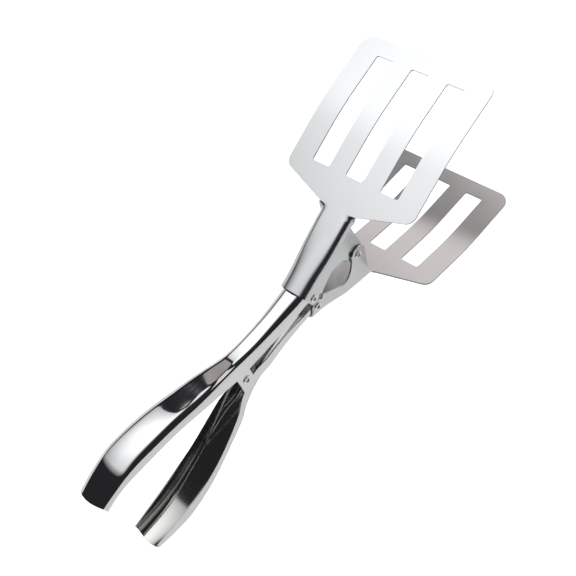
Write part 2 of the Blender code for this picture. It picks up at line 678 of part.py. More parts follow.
def world_corners(pieces):
    bpy.context.view_layer.update()
    return [piece.matrix_world @ vertex.co for piece in pieces for vertex in piece.data.vertices]


def stand(stance, handle, spatula, pieces):
    """Tilts the stance until handle and spatula touch the same level, then lifts and centres it."""
    for _ in range(4):
        rear = min(world_corners([handle]), key=lambda corner: corner.z)
        front = min(world_corners([spatula]), key=lambda corner: corner.z)
        stance.rotation_euler.y -= math.atan2(rear.z - front.z, front.x - rear.x)
    corners = world_corners(pieces)
    xs = [corner.x for corner in corners]
    stance.location.x = -(min(xs) + max(xs)) / 2.0
    stance.location.z = -min(corner.z for corner in corners)


def main():
    clear_scene()
    polished = metal("polished stainless steel", (0.62, 0.62, 0.63), 0.08)
    satin = metal("satin stainless steel", (0.62, 0.62, 0.61), 0.32)
    turned_steel = metal("turned rivet steel", (0.55, 0.55, 0.55), 0.28)
    spring_steel = metal("spring steel wire", (0.5, 0.5, 0.5), 0.2)
    stance = bpy.data.objects.new("stance", None)
    bpy.context.scene.collection.objects.link(stance)

    sheets = {}
    for name, side, nesting in (("handle_upper", UPPER, 0.0), ("handle_lower", LOWER, LOWER_NESTING)):
        handle = make_handle(name, side, nesting, polished)
        handle.location = HANDLE_PIVOT
        handle.parent = stance
        cut_hole(handle, f"{name}_pivot_cutter", HANDLE_PIVOT, MAIN_SHANK_RADIUS + CLEARANCE)
        cut_hole(handle, f"{name}_link_cutter", link_pivot(side), RIVET_SHANK_RADIUS + CLEARANCE)
        finish_cuts(handle)
        sheets[name] = handle

    for name, side, ear_half, play in (
        ("spatula_upper", UPPER, UPPER_EAR_HALF, HEAD_PIVOT_PLAY),
        ("spatula_lower", LOWER, LOWER_EAR_HALF, 0.0),
    ):
        head = make_head(name, side, ear_half, satin, stance)
        hole = RIVET_SHANK_RADIUS + CLEARANCE
        cut_hole(head, f"{name}_ear_cutter", HEAD_PIVOT, hole + play)
        cut_hole(head, f"{name}_link_cutter", link_pivot(side), hole)
        finish_cuts(head)
        sheets[name] = head

    outer = handle_width(HANDLE_PIVOT_X, 0.0)
    main_radii = (MAIN_SHANK_RADIUS, MAIN_HEAD_RADIUS)
    make_rivet("handle_rivet", HANDLE_PIVOT, -outer, outer, *main_radii, turned_steel, stance)
    link_inner = handle_width(LINK_PIVOT_X, 0.0) - HANDLE_SHEET
    for out, word in ((-1.0, "right"), (1.0, "left")):
        for side, level in ((UPPER, "upper"), (LOWER, "lower")):
            make_rivet(
                f"{level}_link_rivet_{word}",
                link_pivot(side),
                out * link_inner,
                out * NECK_REAR_HALF,
                RIVET_SHANK_RADIUS,
                RIVET_HEAD_RADIUS,
                turned_steel,
                stance,
            )
        make_rivet(
            f"head_rivet_{word}",
            HEAD_PIVOT,
            out * (UPPER_EAR_HALF - HEAD_SHEET),
            out * LOWER_EAR_HALF,
            RIVET_SHANK_RADIUS,
            RIVET_HEAD_RADIUS,
            turned_steel,
            stance,
        )
    make_spring("return_spring", spring_steel, stance)
    stand(stance, sheets["handle_lower"], sheets["spatula_lower"], sheets.values())


main()
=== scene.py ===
"""Barbecue turner tongs: the look of every sheet, rivet and wire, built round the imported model.

Every piece is shaped in the linkage's side view, as a press tool would form it: x runs forwards to the
blade tips, z upwards, and the head pivot is the zero. Then it is turned into the row's frame. The handles
are polished sheet, the heads are brushed sheet, the rivets are rolled eyelets and the spring is wire.
"""

import json
import math

import bmesh
import bpy
from bpy.props import FloatProperty, FloatVectorProperty, IntProperty, PointerProperty
from mathutils import Matrix, Vector


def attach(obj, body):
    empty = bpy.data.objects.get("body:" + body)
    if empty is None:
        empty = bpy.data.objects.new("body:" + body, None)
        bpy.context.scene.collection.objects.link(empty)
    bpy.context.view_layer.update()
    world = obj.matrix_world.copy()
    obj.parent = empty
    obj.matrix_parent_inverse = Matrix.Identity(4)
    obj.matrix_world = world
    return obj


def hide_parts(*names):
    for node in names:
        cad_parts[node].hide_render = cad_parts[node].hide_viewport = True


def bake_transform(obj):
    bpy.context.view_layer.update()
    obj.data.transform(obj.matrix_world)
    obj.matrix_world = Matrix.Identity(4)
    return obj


bl_info = {
    "name": "Barbecue Turner Tongs",
    "version": (1, 0, 0),
    "blender": (4, 5, 0),
    "location": "View3D > Sidebar > Tongs",
    "description": "Builds slotted turner tongs with a lever linkage, and a studio to show them in",
    "category": "Add Mesh",
}

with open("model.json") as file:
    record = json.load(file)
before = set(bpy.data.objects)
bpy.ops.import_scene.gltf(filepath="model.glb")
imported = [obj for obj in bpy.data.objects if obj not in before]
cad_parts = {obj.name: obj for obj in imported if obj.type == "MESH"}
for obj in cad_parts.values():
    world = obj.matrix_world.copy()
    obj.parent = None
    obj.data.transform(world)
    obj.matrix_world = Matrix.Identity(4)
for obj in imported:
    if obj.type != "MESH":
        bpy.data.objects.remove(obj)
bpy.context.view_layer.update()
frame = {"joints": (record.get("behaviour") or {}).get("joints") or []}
JOINTS = {joint["name"]: joint for joint in frame["joints"]}
MM = 0.001
UPPER, LOWER = 1, -1
QUARTER = math.pi / 2.0
FULL_TURN = 2.0 * math.pi

# Linkage: how far the handle pivot and the links lie from the head pivot, and the links from the middle
HANDLE_PIVOT_X = -92.0 * MM
LINK_PIVOT_X = -36.0 * MM
LINK_PIVOT_Z = 4.45 * MM

# Room round a shank or between sheets, and between two sheets that slide on each other
CLEARANCE = 0.3 * MM
SLIDING_GAP = 0.4 * MM

# Points nearer than a hair are one; the drill and the punch reach well past the sheets on both sides
HAIR = 0.001 * MM
DRILL_DEPTH = 53.2 * MM
PUNCH_DEPTH = 26.6 * MM

# Where a flange or a bend fades out, its lip and its angle keep these least values
FADE_LIP = 0.3 * MM
FLAT_ANGLE = math.radians(0.01)

# Neck channel of a head: runs from the link pivot, from the ear's round and on towards the blade
NECK_REAR_RUN = 3.55 * MM
NECK_REAR_HALF = 9.5 * MM
NECK_REAR_RISE = 10.2 * MM
NECK_REAR_BEND = 7.0 * MM
NECK_FRONT_BEND = 4.6 * MM
NECK_CROWN = 0.9 * MM
UPPER_EAR_HALF = 10.3 * MM
EAR_RADIUS = 5.7 * MM
EAR_FLAT_RUN = 3.3 * MM
TAPER_RUN = 3.85 * MM
FLANGE_FRONT_RUN = 2.3 * MM
FADE_RUN = 5.0 * MM
JOINT_FLAT_HALF = 4.6 * MM
LINK_LOBE_RADIUS = LINK_PIVOT_Z - CLEARANCE / 2.0
WINDOW_REAR_RUN = 5.35 * MM
WINDOW_REAR_W = 8.5 * MM
WINDOW_FRONT_RUN = 7.7 * MM
WINDOW_FRONT_W = 12.9 * MM
LOBE_BLEND_SHARE = 0.8

# Blade, on from the neck's joint
SHOULDER_RUN = 9.9 * MM
BLADE_BEND_PLACE = 40.1 * MM
BLADE_BEND_RUN = 26.0 * MM
SLOT_BASE_MARGIN = 7.9 * MM
SLOT_TIP_MARGIN = 10.0 * MM

# Handle shells: sizes at the grip, waist and front: web height, half width, bend radius and flange edge
HANDLE_FRONT_RUN = 3.6 * MM
HANDLE_FRONT_RISE = 7.15 * MM
LOWER_GRIP_EDGE, UPPER_GRIP_EDGE = 30.8 * MM, 34.8 * MM
WAIST_HEIGHT, WAIST_HALF, WAIST_BEND, WAIST_EDGE = 17.2 * MM, 5.9 * MM, 3.4 * MM, 6.0 * MM
FRONT_BEND, FRONT_EDGE = 5.6 * MM, 2.4 * MM

# Shares of the way from the waist to the grip or to the front: place, height, half width, then the bend
# and edge of the lower handle and those of the upper one
REAR_SHARES = (
    (1.00, 1.00, 0.83, 0.88, 1.00, 0.90, 0.90),
    (0.90, 1.00, 0.88, 0.90, 1.00, 0.95, 1.00),
    (0.75, 0.99, 0.97, 0.79, 0.99, 1.00, 0.99),
    (0.60, 0.88, 1.00, 0.57, 0.93, 0.95, 0.90),
    (0.45, 0.69, 0.89, 0.37, 0.80, 0.75, 0.75),
    (0.30, 0.45, 0.70, 0.20, 0.57, 0.45, 0.52),
    (0.15, 0.23, 0.38, 0.06, 0.29, 0.15, 0.26),
)
FRONT_SHARES = (
    (0.25, 0.68, -0.09, 0.0, 0.67, 0.0, 0.67),
    (0.50, 0.93, 0.17, 0.5, 1.00, 0.5, 1.00),
    (0.75, 1.00, 0.63, 1.0, 0.83, 1.0, 0.83),
    (1.00, 1.00, 1.00, 1.0, 0.56, 1.0, 0.56),
)

# The rear end bends down, narrows and bows rearwards over its run. No bend takes more than its share of
# the half width. The web is flat up to the crown's start, and its crown grows over a run
END_RUN = 26.0 * MM
END_DROP = 4.8 * MM
END_NARROWING = 0.4 * MM
END_BOW = 2.0 * MM
BEND_LIMIT_SHARE = 0.8
CROWN_START_X = -125.0 * MM
CROWN_RUN = 30.0 * MM

# Round lobes hang from the flanges at the rivets; the lower shell narrows to nest in the upper one
PIVOT_LOBE_RADIUS = 4.7 * MM
LINK_LOBE_GAP = 1.1 * MM
HANDLE_LINK_LOBE_RADIUS = LINK_PIVOT_Z - LINK_LOBE_GAP / 2.0
NEST_REACH = 7.0 * MM
NEST_BLEND = 10.0 * MM

# Spring: its legs run back from the coil, over a knee, to feet in the handles' creases. The knee's bend
# starts at a share of the way from the coil to it, and ends at a share of the way from it to the foot
SPRING_WHOLE_TURNS = 4
SPRING_KNEE_RUN = 11.0 * MM
SPRING_KNEE_Z = 7.8 * MM
KNEE_START_SHARE = 0.6
KNEE_END_SHARE = 0.15
SPRING_FOOT_RUN = 39.0 * MM
SPRING_FOOT_ANGLE = math.radians(22.5)

# The beige card's glow from its foot up: painted light with a band of painted shade. Place and brightness,
# each as a share
CARD_SHARES = (
    (0.0, 1.12),
    (0.5, 1.12),
    (0.54, 0.9),
    (0.57, 0.5),
    (0.6, 0.2),
    (0.68, 0.2),
    (0.76, 0.5),
    (1.0, 0.6),
)

# The softbox's glow from rear to front and from right to left: place and brightness, each as a share
ALONG_SHARES = (
    (0.0, 0.0),
    (0.05, 0.5),
    (0.17, 0.67),
    (0.28, 0.8),
    (0.4, 0.96),
    (0.5, 1.0),
    (0.72, 0.85),
    (1.0, 0.65),
)
ACROSS_SHARES = (
    (0.0, 0.0),
    (0.1, 0.33),
    (0.18, 0.83),
    (0.3, 1.0),
    (0.47, 1.0),
    (0.58, 0.83),
    (0.8, 0.5),
    (1.0, 0.15),
)

# How finely the sheets, the rivets and the wire are drawn
STATION_STEP = 1.4 * MM
NECK_STEP = STATION_STEP / 2.0
FADE_STEP = STATION_STEP / 4.0
BEND_STEPS = 12
WEB_STEPS = 5
ROUND_STEPS = 24
RING_STEPS = 2 * ROUND_STEPS
SLOT_STEPS = 6
CROWN_ROUNDS = 8
CURL_POINTS = 32
ROOT_POINTS = 4
KNEE_POINTS = 8
LEG_POINTS = 14
WIRE_RESOLUTION = 4

# Edges: from which angle a sheet is deburred and how, and from which angle rivets and wire are shaded sharp
DEBURR_ANGLE = math.radians(40.0)
DEBURR_SEGMENTS = 2
FLAT_WEIGHT = 100
RIVET_SHARP_ANGLE = math.radians(35.0)
WIRE_SHARP_ANGLE = math.radians(50.0)

# A blade's face whose normal rises less than this lies across the sheet, on its cut edge
CUT_EDGE_RISE = 0.5

# Noise in every metal: patches and swells in a metre, how fine each noise is, which part of it sets the
# gloss, and the darkest and the lightest share of the tint
PATCH_SCALE, SWELL_SCALE = 45.0, 60.0
LINE_DETAIL, PATCH_DETAIL, SWELL_DETAIL = 3.0, 4.0, 1.0
GLOSS_FROM, GLOSS_TO = 0.1, 0.45
DARK_TINT, LIGHT_TINT = 0.96, 1.03

# Studio floor: roughness of its paint, bumps of its stipple in a metre and their height
FLOOR_ROUGHNESS = 0.9
STIPPLE_SCALE = 300.0
STIPPLE_DEPTH = 0.02 * MM

# How wide each lamp looks from the floor: the wider, the softer the shadow
LAMP_ANGLE = math.radians(60.0)

# The camera in the side view: place, looking direction and the direction that is up in the photograph
CAMERA_PLACE = (-164.854 * MM, -241.134 * MM, 429.939 * MM)
CAMERA_LOOK = (0.24885, 0.48819, -0.83651)
CAMERA_UP = (0.75435, 0.44402, 0.48353)

# Its sensor in millimetres, as Blender takes it, and the nearest place that it draws
SENSOR_WIDTH = 36.0
CLIP_START = 10.0 * MM


def linear(hex_colour):
    """An sRGB hex colour as the four linear numbers that sockets take, by the standard's own curve."""
    parts = [int(hex_colour[i : i + 2], 16) / 255.0 for i in (1, 3, 5)]
    return (*((c / 12.92 if c <= 0.04045 else ((c + 0.055) / 1.055) ** 2.4) for c in parts), 1.0)


def length(name, description, default):
    """A length in metres that a user may change."""
    return FloatProperty(name=name, description=description, default=default, unit="LENGTH", precision=5)


def angle(name, description, degrees):
    """An angle that a user may change, given here in degrees."""
    return FloatProperty(name=name, description=description, default=math.radians(degrees), subtype="ANGLE")


def number(name, description, default, unit="NONE"):
    """A plain number that a user may change."""
    return FloatProperty(name=name, description=description, default=default, unit=unit)


def colour(name, description, hex_colour):
    """A colour that a user may change, given here in sRGB hex."""
    tint = linear(hex_colour)
    return FloatVectorProperty(
        name=name, description=description, default=tint, size=4, min=0.0, max=1.0, subtype="COLOR"
    )


class TongsHandleSizes(bpy.types.PropertyGroup):
    sheet: length("Sheet", "Thickness of the handles' sheet", 0.8 * MM)
    rear: length("Rear length", "Handle pivot to the corners of the rear end", 94.6 * MM)
    height: length("Grip height", "Top of the grip above the middle plane", 42.67 * MM)
    half: length("Grip half width", "Half of the grip's width", 10.3 * MM)
    lower_bend: length("Lower grip bend", "Bend radius at the lower handle's grip", 6.0 * MM)
    upper_bend: length("Upper grip bend", "Bend radius at the upper handle's grip", 5.2 * MM)
    lower_crown: length("Lower crown", "How far the lower grip's web is crowned", 0.3 * MM)
    upper_crown: length("Upper crown", "How far the upper grip's web is crowned", 0.5 * MM)
    edge_round: length("Edge round", "Radius of the deburred edges", 0.2 * MM)


class TongsHeadSizes(bpy.types.PropertyGroup):
    sheet: length("Sheet", "Thickness of the heads' sheet", 1.0 * MM)
    width: length("Blade width", "Width of a blade", 85.0 * MM)
    blade: length("Blade length", "Base corner to tip of a blade", 85.3 * MM)
    offset: length("Blade offset", "Height of a blade's base above the head pivot", 26.6 * MM)
    opening: angle("Opening", "Angle of each head from the middle plane", 14.0)
    bend: angle("Tip bend", "Angle of the soft bend across a blade", 9.5)
    base_corner: length("Base corner", "Radius of the base corners", 6.0 * MM)
    tip_corner: length("Tip corner", "Radius of the tip corners", 7.5 * MM)
    slot_width: length("Slot width", "Width of one slot", 11.5 * MM)
    slot_pitch: length("Slot pitch", "Middle to middle of two slots", 22.94 * MM)
    slot_corner: length("Slot corner", "Radius of a slot's corners", 1.2 * MM)
    slots: IntProperty(name="Slots", description="Slots in one blade", default=3, min=1)
    edge_round: length("Edge round", "Radius of the deburred edges", 0.32 * MM)


class TongsRivetSizes(bpy.types.PropertyGroup):
    shank: length("Shank radius", "Radius of a rivet's shank", 1.3 * MM)
    main_shank: length("Main shank radius", "Radius of the handle rivet's shank", 1.5 * MM)
    ring: length("Ring radius", "Middle of the rolled rim", 1.85 * MM)
    roll_width: length("Roll width", "Half width of the rolled rim", 0.7 * MM)
    roll_height: length("Roll height", "Half height of the rolled rim", 0.52 * MM)
    roll_lift: length("Roll lift", "Height of the rolled rim's middle above the sheet", 0.28 * MM)
    eye_floor: length("Eye floor", "Height of the eye's floor above the sheet", 0.05 * MM)
    main_scale: number("Main scale", "Size of the handle rivet's heads to the others'", 1.09)
    play: length("Play", "Extra room round the head rivets in the upper ears", 0.35 * MM)


class TongsSpringSizes(bpy.types.PropertyGroup):
    wire: length("Wire radius", "Radius of the spring's wire", 0.45 * MM)
    coil: length("Coil radius", "Middle radius of the coil", 3.4 * MM)
    pitch: length("Pitch", "Curl to curl along the coil", 1.4 * MM)


class TongsLooks(bpy.types.PropertyGroup):
    polished: colour("Polished steel", "Tint of the handles", "#DDDEDF")
    mill: colour("Mill steel", "Tint of the handles' insides", "#C9C8C6")
    satin: colour("Brushed steel", "Tint of the heads", "#D0D2D4")
    sheared: colour("Sheared steel", "Tint of the blades' cut edges", "#8A8B8E")
    turned: colour("Rivet steel", "Tint of the rivets", "#E2E1DE")
    wire: colour("Wire steel", "Tint of the spring", "#D6D6D4")
    floor: colour("Floor", "Paint of the studio floor", "#F4F4F2")
    surround: colour("Surround", "Dark cloth round the studio", "#2A2A2D")
    lamp: colour("Lamp light", "Light of the softbox", "#FFFFFF")
    warm: colour("Warm card", "Beige card ahead of the blades", "#F0E7E4")


class TongsStageSizes(bpy.types.PropertyGroup):
    floor: length("Floor", "Side of the floor", 8.0)
    box_low: length("Softbox low", "Height of the softbox at its rear edge", 0.326)
    box_high: length("Softbox high", "Height of the softbox at its front edge", 0.678)
    box_rear: length("Softbox rear", "Rear edge of the softbox", -0.26)
    box_front: length("Softbox front", "Front edge of the softbox", 0.635)
    box_right: length("Softbox right", "Edge on the camera's side, level with the head pivot", -0.25)
    box_left: length("Softbox left", "Edge away from the camera, level with the head pivot", 0.7)
    box_slant: number("Softbox slant", "How far its sides run to the left for each metre forwards", 0.35)
    box_glow: number("Softbox radiance", "Brightness of its brightest part", 1.73)
    card_place: length("Card place", "Beige card ahead of the head pivot", 0.6)
    card_right: length("Card right", "Edge on the camera's side", -0.5)
    card_left: length("Card left", "Edge away from the camera", 0.53)
    card_low: length("Card low", "Height of its top on the camera's side", 0.5)
    card_high: length("Card high", "Height of its top away from the camera", 0.6)
    card_shade_slant: number("Shade slant", "Fall of the shade on the card", 0.5)
    card_shade_run: length("Shade run", "Length over which the card's brightness is set", 1.0)
    cove_place: length("Cove place", "White cove behind the tongs, away from the camera", 0.9)
    cove_half: length("Cove half width", "How far the cove reaches to either side", 0.6)
    cove_height: length("Cove height", "How high the white cove shows in the steel", 0.3)
    fill: number("Fill", "Soft light on the floor that casts no shadow", 2.1)
    key: number("Key", "Soft light that gives the floor its faint shadow", 0.5)
    lift: number("Lift", "Glow that the camera sees in the floor and the steel doesn't", 0.7)
    lens: number("Lens", "Focal length for the sensor's width", 58.387, unit="CAMERA")


class TongsSettings(bpy.types.PropertyGroup):
    handle: PointerProperty(type=TongsHandleSizes, name="Handles", description="Sizes of the two shells")
    head: PointerProperty(type=TongsHeadSizes, name="Heads", description="Sizes of necks and blades")
    rivet: PointerProperty(type=TongsRivetSizes, name="Rivets", description="Sizes of shanks and rims")
    spring: PointerProperty(type=TongsSpringSizes, name="Spring", description="Sizes of wire and coil")
    looks: PointerProperty(type=TongsLooks, name="Looks", description="Tints of the steels and the studio")
    stage: PointerProperty(type=TongsStageSizes, name="Stage", description="Sizes and lights of the studio")


def linkage_frame():
    """The matrix from the linkage's side view to the row's frame, found from the joints' places.

    The side view's x axis runs from the handle pivot through the middle of the two link pivots.
    """
    pivot = Vector(JOINTS["handles_squeeze"]["pos_m"])
    upper = Vector(JOINTS["upper_spatula_turn"]["pos_m"])
    lower = Vector(JOINTS["lower_spatula_turn"]["pos_m"])
    along = ((upper + lower) / 2.0 - pivot).normalized()
    up = Vector((-along.z, 0.0, along.x))
    turn = Matrix((along, Vector((0.0, 1.0, 0.0)), up)).transposed().to_4x4()
    return Matrix.Translation(pivot - along * HANDLE_PIVOT_X) @ turn


TO_ROW = linkage_frame()


def smoothstep(value, start, end):
    """Nothing up to the start and one from the end on, with a soft rise between."""
    share = min(max((value - start) / (end - start), 0.0), 1.0)
    return share * share * (3.0 - 2.0 * share)


def blend(value, start, end, first, second):
    """The first size up to the start, the second from the end on, and a soft change between."""
    return first + (second - first) * smoothstep(value, start, end)


def even_steps(start, end, step=STATION_STEP):
    """Places from start to end, spaced evenly at about one step."""
    count = max(round((end - start) / step), 1)
    return [start + (end - start) * i / count for i in range(count + 1)]


def apart(values):
    """The values in order, without those that lie closer than a hair to the one before."""
    kept = []
    for value in sorted(values):
        if not kept or value - kept[-1] > HAIR:
            kept.append(value)
    return kept


class Spline:
    """A natural cubic through (x, y) points, whose curvature is smooth enough for a polished sheet."""

    def __init__(self, xs, ys):
        """Solves for the curvature at each point, with none at the two ends."""
        self.xs, self.ys = list(xs), list(ys)
        count = len(self.xs)
        runs = [b - a for a, b in zip(self.xs, self.xs[1:])]
        slopes = [(b - a) / run for a, b, run in zip(self.ys, self.ys[1:], runs)]
        upper, right = [0.0] * count, [0.0] * count
        for i in range(1, count - 1):
            pivot = 2.0 * (runs[i - 1] + runs[i]) - runs[i - 1] * upper[i - 1]
            upper[i] = runs[i] / pivot
            right[i] = (6.0 * (slopes[i] - slopes[i - 1]) - runs[i - 1] * right[i - 1]) / pivot
        self.curves = [0.0] * count
        for i in range(count - 2, 0, -1):
            self.curves[i] = right[i] - upper[i] * self.curves[i + 1]

    def __call__(self, x):
        """The curve's y at x; past an end its last piece runs on."""
        xs, ys, curves = self.xs, self.ys, self.curves
        i = next((k for k in range(len(xs) - 1) if x <= xs[k + 1]), len(xs) - 2)
        run = xs[i + 1] - xs[i]
        a, b = (xs[i + 1] - x) / run, (x - xs[i]) / run
        bowed = ((a**3 - a) * curves[i] + (b**3 - b) * curves[i + 1]) * run * run / 6.0
        return a * ys[i] + b * ys[i + 1] + bowed


def folded_half(flat, bend_radius, bend_angle, lip):
    """Half of a folded section, from the web's middle outwards, as (across, down) pairs."""
    points = [(flat * i / WEB_STEPS, 0.0) for i in range(WEB_STEPS + 1)]
    radius = bend_radius * QUARTER / bend_angle
    for step in range(1, BEND_STEPS + 1):
        turned = bend_angle * step / BEND_STEPS
        points.append((flat + radius * math.sin(turned), radius * (1.0 - math.cos(turned))))
    across, down = points[-1]
    points.append((across + lip * math.cos(bend_angle), down + lip * math.sin(bend_angle)))
    return points


def crowned_half(half, bend, depth, crown):
    """Half of a handle's section: a crowned web whose arc runs on into the bend without a crease."""
    turned = 0.0
    for _ in range(CROWN_ROUNDS):
        turned = 2.0 * math.atan(crown / (half - bend + bend * math.sin(turned)))
    flat = half - bend * (1.0 - math.sin(turned))
    points = []
    for step in range(WEB_STEPS + 1):
        share = step / WEB_STEPS
        points.append((flat * share, crown * share * share))
    for step in range(1, BEND_STEPS + 1):
        angle_now = turned + (QUARTER - turned) * step / BEND_STEPS
        across = flat + bend * (math.sin(angle_now) - math.sin(turned))
        points.append((across, crown + bend * (math.cos(turned) - math.cos(angle_now))))
    return points + [(half, max(depth, points[-1][1] + FADE_LIP))]


def whole_row(half, place):
    """Mirrors a half section across the middle plane and places each (across, down) point."""
    left = [place(-across, down) for across, down in reversed(half[1:])]
    return left + [place(across, down) for across, down in half]


def new_object(name, data):
    """An object in the scene that holds this mesh, curve, lamp or camera."""
    obj = bpy.data.objects.new(name, data)
    bpy.context.scene.collection.objects.link(obj)
    return obj


def sheet_from_rows(name, rows, thickness, side):
    """A pressed sheet whose outer face runs through the rows of points, thickened inwards."""
    mesh = bmesh.new()
    grid = [[mesh.verts.new(point) for point in row] for row in rows]
    for first, second in zip(grid, grid[1:]):
        for a, b, c, d in zip(first, second, second[1:], first[1:]):
            mesh.faces.new((a, b, c, d) if side == UPPER else (d, c, b, a))
    data = bpy.data.meshes.new(name)
    mesh.to_mesh(data)
    mesh.free()
    data.shade_smooth()
    obj = new_object(name, data)
    solid = obj.modifiers.new("sheet", "SOLIDIFY")
    solid.thickness = thickness
    solid.offset = -1.0
    solid.use_even_offset = True
    return obj


def round_edges(obj, radius):
    """Deburrs every sharp edge, with the flats' shading kept flat."""
    bevel = obj.modifiers.new("deburred edges", "BEVEL")
    bevel.width = radius
    bevel.segments = DEBURR_SEGMENTS
    bevel.limit_method = "ANGLE"
    bevel.angle_limit = DEBURR_ANGLE
    bevel.miter_outer = "MITER_ARC"
    normals = obj.modifiers.new("flat shading", "WEIGHTED_NORMAL")
    normals.mode = "FACE_AREA"
    normals.weight = FLAT_WEIGHT


def looks_inwards(face):
    """Whether a face of a shell looks towards the linkage's x axis."""
    return face.normal.y * face.center.y + face.normal.z * face.center.z < -HAIR


def evaluated_mesh(obj):
    """A plain mesh of what an object's modifiers or its curve make."""
    bpy.context.view_layer.update()
    graph = bpy.context.evaluated_depsgraph_get()
    return bpy.data.meshes.new_from_object(obj.evaluated_get(graph))


def settle(obj, material, to_row, second=None, chosen=None):
    """Turns what the modifiers make into the object's plain mesh, and places it by the matrix to_row.

    A sheet may have a second finish on its chosen faces.
    """
    data = evaluated_mesh(obj)
    obj.modifiers.clear()
    obj.data = data
    data.materials.clear()
    data.materials.append(material)
    if second:
        data.materials.append(second)
        for face in data.polygons:
            face.material_index = 1 if chosen(face) else 0
    data.transform(to_row)


def close_seams(data):
    """Merges doubled points and turns every face outwards."""
    mesh = bmesh.new()
    mesh.from_mesh(data)
    bmesh.ops.remove_doubles(mesh, verts=mesh.verts, dist=HAIR)
    bmesh.ops.recalc_face_normals(mesh, faces=mesh.faces)
    mesh.to_mesh(data)
    mesh.free()


def hand_over(obj, body, slot, *nodes):
    """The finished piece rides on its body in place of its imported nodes."""
    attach(obj, body)
    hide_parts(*nodes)


# Node trees


def add_node(tree, kind, links=None, **settings):
    """Adds a node, sets its attributes, and fills or links its inputs by socket name or number."""
    node = tree.nodes.new(kind)
    for key, value in settings.items():
        setattr(node, key, value)
    for socket, value in (links or {}).items():
        target = node.inputs[socket]
        if isinstance(value, bpy.types.NodeSocket):
            tree.links.new(value, target)
        elif isinstance(value, bpy.types.Node):
            tree.links.new(value.outputs[0], target)
        else:
            target.default_value = value
    return node


def geometry_tree(name, inputs):
    """An empty geometry tree with named inputs, and its group input and output nodes."""
    tree = bpy.data.node_groups.new(name, "GeometryNodeTree")
    tree.interface.new_socket("Geometry", in_out="INPUT", socket_type="NodeSocketGeometry")
    for label, kind in inputs:
        tree.interface.new_socket(label, in_out="INPUT", socket_type=kind)
    tree.interface.new_socket("Geometry", in_out="OUTPUT", socket_type="NodeSocketGeometry")
    return tree, add_node(tree, "NodeGroupInput"), add_node(tree, "NodeGroupOutput")


def use_tree(obj, tree, values):
    """Adds a geometry tree to an object and sets its named inputs by their identifiers."""
    modifier = obj.modifiers.new(tree.name, "NODES")
    modifier.node_group = tree
    for item in tree.interface.items_tree:
        if item.in_out == "INPUT" and item.name in values:
            modifier[item.identifier] = values[item.name]


def end_tree(tree, given, result, out):
    """Shades the result smooth and ends the tree in Realize Instances and Set Material."""
    finish = given.outputs["Material"]
    smooth = add_node(tree, "GeometryNodeSetShadeSmooth", {"Geometry": result})
    real = add_node(tree, "GeometryNodeRealizeInstances", {"Geometry": smooth})
    painted = add_node(tree, "GeometryNodeSetMaterial", {"Geometry": real, "Material": finish})
    tree.links.new(painted.outputs[0], out.inputs[0])


# Kinds of a tree's own inputs
LENGTH, COUNT, PLACE, FINISH = (
    "NodeSocketFloat",
    "NodeSocketInt",
    "NodeSocketVector",
    "NodeSocketMaterial",
)

# A Mix node has a set of sockets for each kind of value under the same names: these are the colours'
MIX_FIRST, MIX_SECOND, MIX_RESULT = 6, 7, 2


def slot_tree():
    """Punches a row of round-cornered slots through a blade."""
    inputs = (
        ("Slots", COUNT),
        ("Length", LENGTH),
        ("Width", LENGTH),
        ("Corner", LENGTH),
        ("Pitch", LENGTH),
        ("Depth", LENGTH),
        ("Middle", PLACE),
        ("Material", FINISH),
    )
    tree, given, out = geometry_tree("punched slots", inputs)
    of = given.outputs
    outline = add_node(
        tree, "GeometryNodeCurvePrimitiveQuadrilateral", {"Width": of["Length"], "Height": of["Width"]}
    )
    rounded = add_node(
        tree,
        "GeometryNodeFilletCurve",
        {"Curve": outline, "Radius": of["Corner"], "Count": SLOT_STEPS},
        mode="POLY",
    )
    face = add_node(tree, "GeometryNodeFillCurve", {"Curve": rounded}, mode="NGONS")
    drop = add_node(tree, "ShaderNodeMath", {0: of["Depth"], 1: -0.5}, operation="MULTIPLY")
    low = add_node(tree, "ShaderNodeCombineXYZ", {"Z": drop})
    sunk = add_node(tree, "GeometryNodeTransform", {"Geometry": face, "Translation": low})
    raised = add_node(
        tree,
        "GeometryNodeExtrudeMesh",
        {"Mesh": sunk, "Offset": (0.0, 0.0, 1.0), "Offset Scale": of["Depth"], "Individual": False},
    )
    flipped = add_node(tree, "GeometryNodeFlipFaces", {"Mesh": sunk})
    prism = add_node(tree, "GeometryNodeJoinGeometry")
    tree.links.new(raised.outputs["Mesh"], prism.inputs[0])
    tree.links.new(flipped.outputs["Mesh"], prism.inputs[0])
    closed = add_node(tree, "GeometryNodeMergeByDistance", {"Geometry": prism, "Distance": HAIR})
    less = add_node(tree, "ShaderNodeMath", {0: of["Slots"], 1: 1.0}, operation="SUBTRACT")
    reach = add_node(tree, "ShaderNodeMath", {0: less, 1: of["Pitch"]}, operation="MULTIPLY")
    back = add_node(tree, "ShaderNodeMath", {0: reach, 1: -0.5}, operation="MULTIPLY")
    side = add_node(tree, "ShaderNodeCombineXYZ", {"Y": back})
    start = add_node(tree, "ShaderNodeVectorMath", {0: of["Middle"], 1: side}, operation="ADD")
    gap = add_node(tree, "ShaderNodeCombineXYZ", {"Y": of["Pitch"]})
    places = add_node(
        tree,
        "GeometryNodeMeshLine",
        {"Count": of["Slots"], "Start Location": start, "Offset": gap},
    )
    punches = add_node(tree, "GeometryNodeInstanceOnPoints", {"Points": places, "Instance": closed})
    solid = add_node(tree, "GeometryNodeRealizeInstances", {"Geometry": punches})
    cut = add_node(
        tree, "GeometryNodeMeshBoolean", {"Mesh 1": of["Geometry"], "Mesh 2": solid}, solver="EXACT"
    )
    end_tree(tree, given, cut, out)
    return tree


